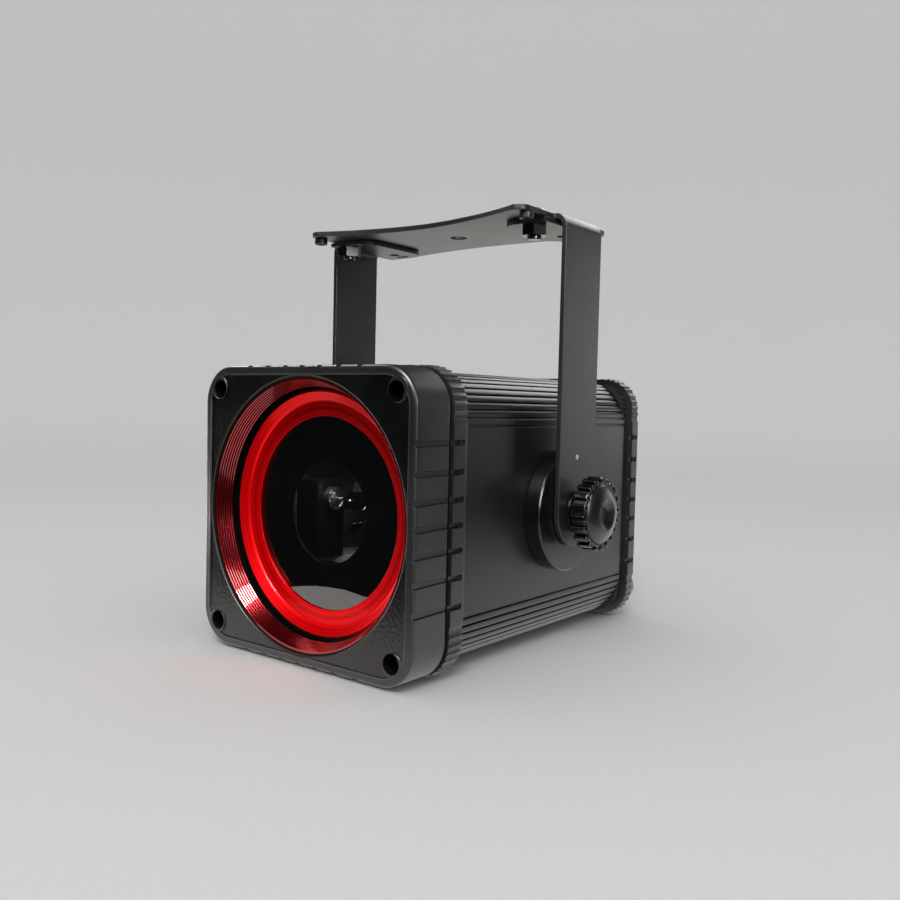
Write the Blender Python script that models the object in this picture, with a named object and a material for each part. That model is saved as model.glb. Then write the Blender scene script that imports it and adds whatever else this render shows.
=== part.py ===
"""Laser light projector: a sealed square housing that hangs in a tilting yoke.

Metres, +Z up. The beam leaves towards -Y, and the rear connectors face +Y.
The housing stands on its two flanges at z = 0, and the origin is under the middle of the whole.
"""
import bpy
import bmesh
import math
from mathutils import Vector

CLEARANCE = 0.0003
EDGE_BREAK = 0.0008

# Housing, from the front face backwards
FLANGE_WIDTH = 0.160
CAP_STEP = 0.001
EXTRUSION_STEP = 0.00275
CAP_LENGTH = 0.027
COLLAR_LENGTH = 0.011
EXTRUSION_LENGTH = 0.1748
REAR_NECK_LENGTH = 0.0055
REAR_FLANGE_LENGTH = 0.0095
REAR_PLATE = 0.006
GASKET = 0.0008
CAP_CORNER = 0.021
CAP_EDGE = 0.0016
NECK_INSET = 0.0042
EXTRUSION_CORNER = 0.0285
EXTRUSION_WALL = 0.004
WEB_COVER = 0.005
CAVITY_INSET = 0.018
CAVITY_CORNER = 0.012
GROOVES_PER_CORNER = 11
GROOVE_WIDTH = 0.0011
GROOVE_DEPTH = 0.0012
NOTCH_SHARES = (-0.2575, -0.166, -0.08, 0.0, 0.08, 0.166, 0.2575)
CAP_NOTCH_WIDTH = 0.0033
CAP_NOTCH_NARROW = 0.0021
CAP_NOTCH_DEPTH = 0.0009
COLLAR_NOTCH_WIDTH = 0.0026
COLLAR_NOTCH_DEPTH = 0.0022
COLLAR_NOTCH_END = 0.0022
FLUTE_SHARES = (-1.50, -1.15, -0.87, -0.64, -0.39, -0.09, 0.09, 0.39, 0.64, 0.87, 1.15, 1.50)
FLUTE_DEPTH = 0.0008
FACE_LIP = 0.0045
FACE_RECESS = 0.0008

# Mouth, window and the red ring that holds it
MOUTH_MARGIN = 0.0055
RIM_WIDTH = 0.0022
RIB_START = 0.0025
RIB_TAPER = 0.0038
RIB_COUNT = 6
RIB_DEPTH = 0.0009
RING_GAP = 0.0011
RING_SET = 0.0015
RING_CONE_WIDTH = 0.0052
RING_CONE_DEPTH = 0.0037
RING_LAND = 0.0087
RING_ROOT = 0.0012
RING_LIP = 0.0007
WINDOW_LAP = 0.004
WINDOW_THICKNESS = 0.003
SEAL_WIDTH = 0.003
MASK_THICKNESS = 0.0012
APERTURE_RADIUS = 0.028
SHELF_LAP = 0.0025
SHELF_THICKNESS = 0.0025
MOUTH_STEPS = 48

# Corner screws
SCREW_HEAD_RADIUS = 0.0042
SCREW_HEAD_HEIGHT = 0.004
SCREW_SHANK_RADIUS = 0.0022
SCREW_SOCKET_RADIUS = 0.002
SCREW_SOCKET_DEPTH = 0.0018
SCREW_SINK = 0.012
SCREW_BITE = 0.010
SCREW_WALL = 0.0005
COUNTERBORE_RADIUS = 0.005
REAR_SCREW_SINK = 0.0044
LOWER_SCREW_WALL = 0.002
LOWER_SCREW_SPACE = 0.0062
BOSS_WIDTH = 0.013
BOSS_COVER = 0.0055

# Side pivots
PIVOT_SHARE = 0.52803
DISC_RADIUS = 0.0348
DISC_CHAMFER = 0.0012
DISC_THICKNESS = 0.0096
STUD_RADIUS = 0.0039
INSERT_RADIUS = 0.014
INSERT_THICKNESS = 0.008

# Yoke
YOKE_THICKNESS = 0.003
YOKE_ROOM = 0.01417
ARM_WIDTH = 0.040
BEND_RADIUS = 0.0045
PLATE_WAIST = 0.069
PLATE_FRONT_REACH = 0.0515
PLATE_REAR_REACH = 0.0435
PLATE_CORNER = 0.007
PLATE_HOLE_RADIUS = 0.00525
PLATE_TAPER = 1.8
STIFFENER_LENGTH = 0.032
STIFFENER_WIDTH = 0.060
STIFFENER_CORNER = 0.013
STIFFENER_THICKNESS = 0.0027
STIFFENER_RIM = 0.0018
BOLT_INSET = 0.011
BOLT_RADIUS = 0.0039
BOLT_HEAD_RADIUS = 0.0068
BOLT_HEAD_HEIGHT = 0.0028
BOLT_TIP = 0.002
NUT_RADIUS = 0.0075
NUT_HEIGHT = 0.0062
SPACER_INSET = 0.0085
SPACER_RADIUS = 0.004
SPACER_HEIGHT = 0.0034
SPACER_BORE = 0.0024
LIGHTENING_HOLE_RADIUS = 0.0034
SLOT_LENGTH = 0.010
SLOT_WIDTH = 0.0036

# Knobs
WASHER_RADIUS = 0.012
WASHER_THICKNESS = 0.0016
KNOB_HUB_RADIUS = 0.0105
KNOB_HUB_LENGTH = 0.0055
KNOB_GRIP_RADIUS = 0.0214
KNOB_GRIP_LENGTH = 0.0092
KNOB_RIBS = 20
KNOB_RIB_DEPTH = 0.0016
KNOB_DOME = 0.0032
KNOB_DISH = 0.0022
STUD_BITE = 0.007

# Scanner and light source
RAIL_ABOVE_WEB = 0.0037
RAIL_REACH = 0.004
RAIL_THICKNESS = 0.003
BASE_THICKNESS = 0.006
BASE_FRONT_GAP = 0.0063
BASE_REAR_GAP = 0.0065
SCANNER_SETBACK = 0.012
TALL_AXIS_RISE = 0.003
LOW_AXIS_DROP = 0.013
MOTOR_RADIUS = 0.0068
MOTOR_LENGTH = 0.028
TALL_STANDOFF = 0.016
LOW_STANDOFF = 0.012
BLOCK_WALL = 0.004
BLOCK_LENGTH = 0.018
BLOCK_FOOT = 0.006
MIRROR_THICKNESS = 0.0012
TALL_MIRROR_LENGTH = 0.020
TALL_MIRROR_WIDTH = 0.012
LOW_MIRROR_LENGTH = 0.011
LOW_MIRROR_WIDTH = 0.008
SHAFT_RADIUS = 0.0014
MODULE_WIDTH = 0.019
MODULE_LENGTH = 0.052
MODULE_GAP = 0.0015
MODULE_SIDE_GAP = 0.00245
MODULE_SETBACK = 0.020
SCANNER_SIDE_GAP = 0.0037
COMBINER_SIZE = 0.013
COMBINER_THICKNESS = 0.0025
DRIVER_HEIGHT = 0.030
SUPPLY_HEIGHT = 0.044
ELECTRONICS_GAP = 0.006
ELECTRONICS_SPACE = 0.009

# Rear controls
WINDOW_WIDTH = 0.050
WINDOW_HEIGHT = 0.024
WINDOW_RISE = 0.026
WINDOW_PANE = 0.002
BUTTON_RADIUS = 0.0042
BUTTON_SPACING = 0.0145
BUTTON_DROP = 0.004
BUTTON_PROUD = 0.0018
BUTTON_FLANGE = 0.0012
CONTROL_INSET = 0.032
CONTROL_RISE = 0.014
KEY_BARREL_RADIUS = 0.0075
KEY_FLANGE_RADIUS = 0.0105
KEY_FLANGE = 0.0025
KEY_PLUG_RADIUS = 0.005
KEY_PLUG_DEPTH = 0.003
KEY_RISER = 0.0006
KEY_BOW_THICKNESS = 0.0022
KEY_BOW_LENGTH = 0.011
KEY_BOW_WIDTH = 0.014
GLAND_INSET = 0.014
GLAND_RISE = 0.0175
GLAND_HEX_RADIUS = 0.0108
GLAND_HEX_LENGTH = 0.0055
GLAND_DOME_RADIUS = 0.0082
GLAND_DOME_LENGTH = 0.0105
GLAND_SPIGOT_RADIUS = 0.0074
GLAND_SPIGOT = 0.0044
GLAND_BORE_RADIUS = 0.0037
GLAND_BORE_DEPTH = 0.013
EYELET_RADIUS = 0.0072
EYELET_HOLE_RADIUS = 0.0052
EYELET_THICKNESS = 0.004
EYELET_FOOT_WIDTH = 0.012
EYELET_FOOT_THICKNESS = 0.0025
EYELET_FOOT_HEIGHT = 0.024

# Places that follow from the sizes, first along the depth
cap_back = CAP_LENGTH
collar_front = cap_back + GASKET + 2 * CLEARANCE
collar_back = collar_front + COLLAR_LENGTH
extrusion_front = collar_back + CLEARANCE
extrusion_back = extrusion_front + EXTRUSION_LENGTH
neck_front = extrusion_back + GASKET + 2 * CLEARANCE
rear_flange_front = neck_front + REAR_NECK_LENGTH
rear_face = rear_flange_front + REAR_FLANGE_LENGTH
gland_reach = CLEARANCE + GLAND_HEX_LENGTH + GLAND_DOME_LENGTH
key_reach = CLEARANCE + KEY_FLANGE + KEY_RISER + KEY_BOW_LENGTH
front_y = -(rear_face + max(gland_reach, key_reach)) / 2
pivot_depth = extrusion_front + EXTRUSION_LENGTH * PIVOT_SHARE
shelf_front = cap_back - SHELF_THICKNESS
mask_front = shelf_front - CLEARANCE - MASK_THICKNESS
window_front = mask_front - CLEARANCE - WINDOW_THICKNESS
ring_pocket = window_front - CLEARANCE
ring_step = ring_pocket - RING_ROOT
ring_front = ring_step - RING_CONE_DEPTH
rib_end = ring_front - RING_SET
base_start = extrusion_front + BASE_FRONT_GAP
base_end = extrusion_back - BASE_REAR_GAP
scanner_depth = base_start + SCANNER_SETBACK
module_start = scanner_depth + MODULE_SETBACK
electronics_start = module_start + MODULE_LENGTH + ELECTRONICS_SPACE

# Half widths and radii, from the outside in
flange_half = FLANGE_WIDTH / 2
body_z = flange_half
cap_half = flange_half - CAP_STEP
neck_half = flange_half - NECK_INSET
opening_half = flange_half - CAVITY_INSET
extrusion_half = flange_half - EXTRUSION_STEP
inner_half = extrusion_half - EXTRUSION_WALL
mouth_radius = cap_half - MOUTH_MARGIN
rib_start_radius = mouth_radius - RIM_WIDTH
rib_end_radius = rib_start_radius - RIB_TAPER
ring_radius = rib_end_radius - RING_GAP
ring_step_radius = ring_radius - RING_CONE_WIDTH
ring_bore_radius = ring_step_radius - RING_LAND
window_radius = ring_bore_radius + WINDOW_LAP
screw_hole = SCREW_SHANK_RADIUS + CLEARANCE
screw_cover = GROOVE_DEPTH + SCREW_WALL + screw_hole
screw_offset = extrusion_half - EXTRUSION_CORNER + (EXTRUSION_CORNER - screw_cover) / math.sqrt(2)
web = 2 * screw_offset - WEB_COVER * math.sqrt(2) - inner_half
rail_top = -web + RAIL_ABOVE_WEB + RAIL_THICKNESS
base_top = rail_top + CLEARANCE + BASE_THICKNESS
foot_low = base_top + CLEARANCE
gland_x = flange_half - GLAND_INSET
gland_z = GLAND_RISE - flange_half
lower_screw_x = gland_x - GLAND_HEX_RADIUS - COUNTERBORE_RADIUS - LOWER_SCREW_SPACE
lower_screw_z = -opening_half - screw_hole - LOWER_SCREW_WALL
front_screws = [(sx * screw_offset, sz * screw_offset) for sz in (1, -1) for sx in (-1, 1)]
rear_screws = front_screws[:2] + [(-lower_screw_x, lower_screw_z), (lower_screw_x, lower_screw_z)]
key_x = CONTROL_INSET - flange_half
eyelet_x = flange_half - CONTROL_INSET

# Side pivots, yoke and knobs, along the tilt axis and up
disc_face = extrusion_half + CLEARANCE + DISC_THICKNESS
arm_inner = disc_face + CLEARANCE
arm_outer = arm_inner + YOKE_THICKNESS
washer_outer = arm_outer + CLEARANCE + WASHER_THICKNESS
knob_back = washer_outer + CLEARANCE
insert_outer = inner_half - CLEARANCE
insert_inner = insert_outer - INSERT_THICKNESS
yoke_reach = math.hypot(pivot_depth, cap_half) + YOKE_ROOM
plate_under = yoke_reach - YOKE_THICKNESS
plate_end_x = arm_outer - BEND_RADIUS - YOKE_THICKNESS
stiffener_top = plate_under - CLEARANCE
bolt_x = plate_end_x - BOLT_INSET
bolt_forward = STIFFENER_WIDTH / 2 - STIFFENER_RIM - BOLT_RADIUS - CLEARANCE
spacer_x = plate_end_x - SPACER_RADIUS
spacer_forward = PLATE_FRONT_REACH - SPACER_INSET

# Scanner and light source, from the right side inwards
module_spacing = MODULE_WIDTH + MODULE_GAP
module_xs = [insert_inner - MODULE_SIDE_GAP - MODULE_WIDTH / 2 - back * module_spacing for back in (2, 1, 0)]
block_half = MOTOR_RADIUS + BLOCK_WALL
scanner_x = module_xs[0] - MODULE_WIDTH / 2 - SCANNER_SIDE_GAP - block_half
electronics_width = insert_inner - MODULE_SIDE_GAP - ELECTRONICS_GAP / 2


def place(x, depth, rise):
    """World place of a point given by its side offset, depth behind the front face and rise from the middle."""
    return Vector((x, front_y + depth, body_z + rise))


def material(name, colour, roughness, metallic):
    made = bpy.data.materials.new(name)
    made.use_nodes = True
    shader = made.node_tree.nodes["Principled BSDF"]
    shader.inputs["Base Color"].default_value = (*colour, 1.0)
    shader.inputs["Roughness"].default_value = roughness
    shader.inputs["Metallic"].default_value = metallic
    return made


def clear_scene():
    for thing in list(bpy.data.objects):
        bpy.data.objects.remove(thing, do_unlink=True)


def finish(mesh_data, name, look, where, turn=None):
    """Turn a bmesh into a named object with its origin at where."""
    bmesh.ops.recalc_face_normals(mesh_data, faces=mesh_data.faces)
    mesh = bpy.data.meshes.new(name)
    mesh_data.to_mesh(mesh)
    mesh_data.free()
    mesh.shade_smooth()
    mesh.set_sharp_from_angle(angle=math.radians(32))
    if look:
        mesh.materials.append(look)
    made = bpy.data.objects.new(name, mesh)
    bpy.context.collection.objects.link(made)
    made.location = where
    if turn:
        made.rotation_euler = turn
    return made


def loft(name, rings, look, where, turn=None):
    """A solid through rings of points, each a list of (x, y, z) in the same order."""
    mesh_data = bmesh.new()
    loops = [[mesh_data.verts.new(point) for point in ring] for ring in rings]
    for lower, upper in zip(loops, loops[1:]):
        for index in range(len(lower)):
            after = (index + 1) % len(lower)
            mesh_data.faces.new((lower[index], lower[after], upper[after], upper[index]))
    mesh_data.faces.new(list(reversed(loops[0])))
    mesh_data.faces.new(loops[-1])
    return finish(mesh_data, name, look, where, turn)


def along_depth(outline, depth):
    return [(x, depth, z) for x, z in outline]


def along_height(outline, height):
    return [(x, y, height) for x, y in outline]


def turned(name, profile, steps, look, where, turn=None):
    """A solid turned about local Z from a closed profile of (radius, height) points."""
    mesh_data = bmesh.new()
    verts = [mesh_data.verts.new((radius, 0, height)) for radius, height in profile]
    edges = [mesh_data.edges.new((verts[i], verts[(i + 1) % len(verts)])) for i in range(len(verts))]
    for edge in [e for e in edges if all(v.co.x < 1e-7 for v in e.verts)]:
        mesh_data.edges.remove(edge)
        edges.remove(edge)
    bmesh.ops.spin(mesh_data, geom=verts + edges, cent=(0, 0, 0), axis=(0, 0, 1),
                   angle=2 * math.pi, steps=steps, use_merge=True)
    bmesh.ops.remove_doubles(mesh_data, verts=mesh_data.verts, dist=1e-6)
    return finish(mesh_data, name, look, where, turn)


def disc_profile(radius, low, high, bore=0.0, edge=0.0):
    """Profile of a plain disc or ring, with a small chamfer on its outer edge at the high end."""
    if edge:
        outer = [(radius, low), (radius, high - edge), (radius - edge, high)]
    else:
        outer = [(radius, low), (radius, high)]
    return [(bore, low)] + outer + [(bore, high)]


def box(name, size, look, where, bevel=0.0, turn=None):
    mesh_data = bmesh.new()
    bmesh.ops.create_cube(mesh_data, size=1.0)
    bmesh.ops.scale(mesh_data, vec=size, verts=mesh_data.verts)
    made = finish(mesh_data, name, look, where, turn)
    if bevel:
        rounding = made.modifiers.new("rounded edges", "BEVEL")
        rounding.width = bevel
        rounding.segments = 1
    return made


def guide(tool):
    tool.hide_render = True
    tool.display_type = "WIRE"
    return tool


def cut(target, tool, kind="DIFFERENCE"):
    """Cut or join a target with a tool, which stays in the scene as a hidden guide."""
    guide(tool)
    step = target.modifiers.new(tool.name, "BOOLEAN")
    step.operation = kind
    step.solver = "EXACT"
    step.object = tool
    return target


def bore(target, name, radius, length, where, axis, steps=16):
    """Cut a round hole of the given length, centred at where, along a world axis."""
    turns = {"X": (0, math.pi / 2, 0), "Y": (math.pi / 2, 0, 0), "Z": None}
    tool = turned(name, disc_profile(radius, -length / 2, length / 2), steps, None, where, turns[axis])
    return cut(target, tool)


def rounded_outline(half_x, half_z, radius, steps=6):
    """Counter-clockwise rounded rectangle."""
    points = []
    for quarter, (sx, sz) in enumerate(((1, 1), (-1, 1), (-1, -1), (1, -1))):
        for step in range(steps + 1):
            angle = math.pi / 2 * (quarter + step / steps)
            points.append((sx * (half_x - radius) + radius * math.cos(angle),
                           sz * (half_z - radius) + radius * math.sin(angle)))
    return points


def quarter_turned(points, times):
    for _ in range(times):
        points = [(-z, x) for x, z in points]
    return points


def notched_outline(half, radius, notch_width, notch_depth, flute_depth=0.0):
    """Rounded square with cross grooves on each side and, if flute_depth is set, scalloped corners."""
    side = []
    wall = min(notch_depth / 2, notch_width / 4)
    for share in NOTCH_SHARES:
        low = share * FLANGE_WIDTH - notch_width / 2
        high = share * FLANGE_WIDTH + notch_width / 2
        side += [(half, low), (half - notch_depth, low + wall), (half - notch_depth, high - wall), (half, high)]
    if flute_depth:
        marks = [(share, 0.0) for share in FLUTE_SHARES]
        valleys = [((low + high) / 2, flute_depth) for low, high in zip(FLUTE_SHARES, FLUTE_SHARES[1:])]
        stops = sorted(marks + valleys)
    else:
        stops = [(2 * step / 7 - 1, 0.0) for step in range(8)]
    side += [corner_point(half, radius, share, dip) for share, dip in stops]
    return [point for times in range(4) for point in quarter_turned(side, times)]


def corner_point(half, radius, share, dip):
    """Point near the corner at a share of half its arc from its middle; beyond 1 it lies on the straight sides."""
    bounded = max(-1.0, min(1.0, share))
    angle = math.pi / 4 * (1 + bounded)
    beyond = (share - bounded) * math.pi / 4 * radius
    x = half - radius + (radius - dip) * math.cos(angle) - beyond * math.sin(angle)
    z = half - radius + (radius - dip) * math.sin(angle) + beyond * math.cos(angle)
    return (x, z)


def extrusion_outline():
    """Rounded square whose corners carry narrow lengthwise grooves between wide lands."""
    pitch = math.pi / 2 / (GROOVES_PER_CORNER - 1 + 0.2)
    narrow = GROOVE_WIDTH / EXTRUSION_CORNER / 2
    side = []
    for groove in range(GROOVES_PER_CORNER):
        middle = pitch * (groove + 0.1)
        for turn, depth in ((-narrow, 0.0), (-narrow * 0.7, GROOVE_DEPTH), (narrow * 0.7, GROOVE_DEPTH), (narrow, 0.0)):
            angle = middle + turn
            radius = EXTRUSION_CORNER - depth
            side.append((extrusion_half - EXTRUSION_CORNER + radius * math.cos(angle),
                         extrusion_half - EXTRUSION_CORNER + radius * math.sin(angle)))
    return [point for times in range(4) for point in quarter_turned(side, times)]


def cavity_outline():
    """Inside of the extrusion: webs across the corners, ledges for the base and bosses for the lower screws."""
    half = inner_half
    ledge = half - RAIL_REACH
    boss_top = lower_screw_z + BOSS_COVER
    boss_out = lower_screw_x + BOSS_WIDTH / 2
    boss_in = lower_screw_x - BOSS_WIDTH / 2
    web_start = max(web, boss_out + CLEARANCE)
    right = [(boss_in, -half), (boss_in, boss_top), (boss_out, boss_top), (boss_out, max(0, boss_out - web) - half),
             (web_start, web_start - web - half), (half, -web), (half, rail_top - RAIL_THICKNESS),
             (ledge, rail_top - RAIL_THICKNESS), (ledge, rail_top), (half, rail_top), (half, web), (web, half)]
    return right + [(-x, z) for x, z in reversed(right)]


def screw_holes(target, name, screws, front, back, radius):
    for number, (x, z) in enumerate(screws):
        bore(target, f"{name}_{number}", radius, back - front, place(x, (front + back) / 2, z), "Y", 12)


def front_cap(look):
    rings = [(0.0, cap_half - CAP_EDGE, CAP_NOTCH_WIDTH), (CAP_EDGE * 0.3, cap_half - CAP_EDGE * 0.3, CAP_NOTCH_WIDTH),
             (CAP_EDGE, cap_half, CAP_NOTCH_WIDTH), (CAP_LENGTH, cap_half, CAP_NOTCH_NARROW)]
    loops = [along_depth(notched_outline(size, CAP_CORNER - (cap_half - size), width, CAP_NOTCH_DEPTH), depth)
             for depth, size, width in rings]
    cap = loft("front_cap", loops, look, place(0, 0, 0))
    field = cap_half - CAP_EDGE - FACE_LIP
    face = [along_depth(rounded_outline(field, field, CAP_CORNER - CAP_EDGE - FACE_LIP), depth)
            for depth in (-FACE_RECESS, FACE_RECESS)]
    cut(cap, loft("face_recess", face, None, place(0, 0, 0)))
    pitch = (rib_end - RIB_START) / RIB_COUNT
    profile = [(0, -RIB_START), (mouth_radius, -RIB_START), (mouth_radius, FACE_RECESS)]
    for rib in range(RIB_COUNT):
        depth = RIB_START + rib * pitch
        radius = rib_start_radius - RIB_TAPER * rib / RIB_COUNT
        profile += [(radius, depth), (radius + RIB_DEPTH, depth + pitch / 2)]
    seat = ring_radius + CLEARANCE
    shelf_radius = ring_bore_radius - SHELF_LAP
    profile += [(rib_end_radius, rib_end), (seat, rib_end + EDGE_BREAK), (seat, shelf_front),
                (shelf_radius, shelf_front), (shelf_radius, CAP_LENGTH + RIB_START), (0, CAP_LENGTH + RIB_START)]
    cut(cap, turned("mouth", profile, MOUTH_STEPS, None, place(0, 0, 0), (-math.pi / 2, 0, 0)))
    screw_holes(cap, "cap_counterbore", front_screws, -SCREW_SINK, SCREW_SINK, COUNTERBORE_RADIUS)
    screw_holes(cap, "cap_hole", front_screws, 0, CAP_LENGTH + SCREW_SINK, screw_hole)
    return cap


def front_collar(look):
    groove_end = COLLAR_LENGTH - COLLAR_NOTCH_END
    rings = [(0.0, COLLAR_NOTCH_DEPTH), (groove_end - COLLAR_NOTCH_DEPTH / 2, COLLAR_NOTCH_DEPTH),
             (groove_end, 0.0), (COLLAR_LENGTH, 0.0)]
    loops = [along_depth(notched_outline(flange_half, CAP_CORNER, COLLAR_NOTCH_WIDTH, notch, FLUTE_DEPTH),
                         collar_front + depth) for depth, notch in rings]
    collar = loft("front_collar", loops, look, place(0, 0, 0))
    cut(collar, opening_tool("collar_opening", collar_front, collar_back))
    screw_holes(collar, "collar_hole", front_screws, collar_front - SCREW_SINK, collar_back + SCREW_SINK, screw_hole)
    return collar


def opening_tool(name, front, back):
    margin = CAVITY_INSET / 2
    outline = rounded_outline(opening_half, opening_half, CAVITY_CORNER, 4)
    return loft(name, [along_depth(outline, front - margin), along_depth(outline, back + margin)], None,
                place(0, 0, 0))


def gasket(name, front, screws, look):
    outline = rounded_outline(neck_half, neck_half, CAP_CORNER - NECK_INSET)
    seal = loft(name, [along_depth(outline, front), along_depth(outline, front + GASKET)], look, place(0, 0, 0))
    cut(seal, opening_tool(name + "_opening", front, front + GASKET))
    screw_holes(seal, name + "_hole", screws, front - SCREW_SINK, front + SCREW_SINK, screw_hole)
    return seal


def extruded_housing(look):
    outer = extrusion_outline()
    tube = loft("extruded_housing", [along_depth(outer, extrusion_front), along_depth(outer, extrusion_back)], look,
                place(0, 0, 0))
    inner = cavity_outline()
    cut(tube, loft("housing_cavity", [along_depth(inner, extrusion_front - EXTRUSION_WALL),
                                      along_depth(inner, extrusion_back + EXTRUSION_WALL)], None, place(0, 0, 0)))
    bite = SCREW_BITE + SCREW_SINK
    screw_holes(tube, "front_channel", front_screws, extrusion_front - bite, extrusion_front + bite, screw_hole)
    screw_holes(tube, "rear_channel", rear_screws, extrusion_back - bite, extrusion_back + bite, screw_hole)
    bore(tube, "pivot_bore", STUD_RADIUS + CLEARANCE, 2 * extrusion_half + EXTRUSION_WALL, place(0, pivot_depth, 0), "X")
    return tube


def rear_cover(look):
    shape = [(neck_front, neck_half, 0.0), (rear_flange_front - CLEARANCE, neck_half, 0.0),
             (rear_flange_front, flange_half, COLLAR_NOTCH_DEPTH),
             (rear_face - COLLAR_NOTCH_END, flange_half, COLLAR_NOTCH_DEPTH), (rear_face - CAP_EDGE, flange_half, 0.0),
             (rear_face, flange_half - CAP_EDGE, 0.0)]
    loops = [along_depth(notched_outline(size, CAP_CORNER - (flange_half - size), COLLAR_NOTCH_WIDTH, notch,
                                         FLUTE_DEPTH), depth) for depth, size, notch in shape]
    cover = loft("rear_cover", loops, look, place(0, 0, 0))
    cavity = opening_tool("cover_cavity", neck_front, rear_face - REAR_PLATE - CAVITY_INSET / 2)
    cut(cover, cavity)
    screw_holes(cover, "cover_counterbore", rear_screws, rear_face - REAR_SCREW_SINK, rear_face + REAR_SCREW_SINK,
                COUNTERBORE_RADIUS)
    screw_holes(cover, "cover_hole", rear_screws, neck_front - SCREW_SINK, rear_face, screw_hole)
    pane = (WINDOW_WIDTH + 2 * CLEARANCE, 2 * (WINDOW_PANE + CLEARANCE), WINDOW_HEIGHT + 2 * CLEARANCE)
    cut(cover, box("pane_recess", pane, None, place(0, rear_face, WINDOW_RISE)))
    for number, x in enumerate(button_places()):
        bore(cover, f"button_hole_{number}", BUTTON_RADIUS + CLEARANCE, 4 * REAR_PLATE,
             place(x, rear_face, -BUTTON_DROP), "Y")
    bore(cover, "key_hole", KEY_BARREL_RADIUS + CLEARANCE, 4 * REAR_PLATE, place(key_x, rear_face, CONTROL_RISE), "Y")
    for side in (-1, 1):
        bore(cover, f"gland_hole_{side}", GLAND_SPIGOT_RADIUS + CLEARANCE, 2 * (GLAND_SPIGOT + CLEARANCE),
             place(side * gland_x, rear_face, gland_z), "Y")
    return cover


def button_places():
    return [(number - 1.5) * BUTTON_SPACING for number in range(4)]


def front_optics(looks):
    ring_back = mask_front - CLEARANCE
    seal_inner = window_radius + CLEARANCE
    pocket_radius = seal_inner + SEAL_WIDTH + CLEARANCE
    profile = [(ring_radius, ring_front), (ring_radius, ring_back), (pocket_radius, ring_back),
               (pocket_radius, ring_pocket), (ring_bore_radius, ring_pocket), (ring_bore_radius, ring_pocket - RING_LIP),
               (ring_step_radius - EDGE_BREAK, ring_step), (ring_step_radius, ring_step - EDGE_BREAK),
               (ring_radius - EDGE_BREAK, ring_front)]
    facing_back = (-math.pi / 2, 0, 0)
    turned("red_trim_ring", profile, MOUTH_STEPS, looks["red"], place(0, 0, 0), facing_back)
    window_back = window_front + WINDOW_THICKNESS
    turned("window_glass", disc_profile(window_radius, window_front, window_back), MOUTH_STEPS, looks["glass"],
           place(0, 0, 0), facing_back)
    turned("window_seal", disc_profile(seal_inner + SEAL_WIDTH, window_front, window_back, seal_inner), MOUTH_STEPS,
           looks["rubber"], place(0, 0, 0), facing_back)
    turned("aperture_mask", disc_profile(ring_radius, mask_front, mask_front + MASK_THICKNESS, APERTURE_RADIUS), 40,
           looks["black"], place(0, 0, 0), facing_back)


def screw(name, x, z, face, forward, sink, tip, look):
    """A cap screw whose head sits sunk below a face; forward is the way its tip points along depth."""
    seat = sink - CLEARANCE
    head = seat - SCREW_HEAD_HEIGHT
    length = abs(tip - face)
    profile = [(0, head + SCREW_SOCKET_DEPTH), (SCREW_SOCKET_RADIUS, head + SCREW_SOCKET_DEPTH),
               (SCREW_SOCKET_RADIUS, head), (SCREW_HEAD_RADIUS, head), (SCREW_HEAD_RADIUS, seat),
               (SCREW_SHANK_RADIUS, seat), (SCREW_SHANK_RADIUS, length), (0, length)]
    turned(name, profile, 10, look, place(x, face, z), (-math.pi / 2 * forward, 0, 0))


def all_screws(look):
    names = ("upper_left", "upper_right", "lower_left", "lower_right")
    for (x, z), corner in zip(front_screws, names):
        screw(f"front_screw_{corner}", x, z, 0, 1, SCREW_SINK, extrusion_front + SCREW_BITE, look)
    for (x, z), corner in zip(rear_screws, names):
        screw(f"rear_screw_{corner}", x, z, rear_face, -1, REAR_SCREW_SINK, extrusion_back - SCREW_BITE, look)


def side_pivot(side, looks):
    word = "right" if side > 0 else "left"
    outward = (0, math.pi / 2 * side, 0)
    where = place(0, pivot_depth, 0)
    low = extrusion_half + CLEARANCE
    hole = STUD_RADIUS + CLEARANCE
    profile = [(hole, low), (DISC_RADIUS, low), (DISC_RADIUS, disc_face - DISC_CHAMFER),
               (DISC_RADIUS - DISC_CHAMFER, disc_face), (hole, disc_face)]
    turned(f"pivot_disc_{word}", profile, 40, looks["cast"], where, outward)
    turned(f"pivot_insert_{word}", disc_profile(INSERT_RADIUS, insert_inner, insert_outer, hole), 16,
           looks["steel"], where, outward)


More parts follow.
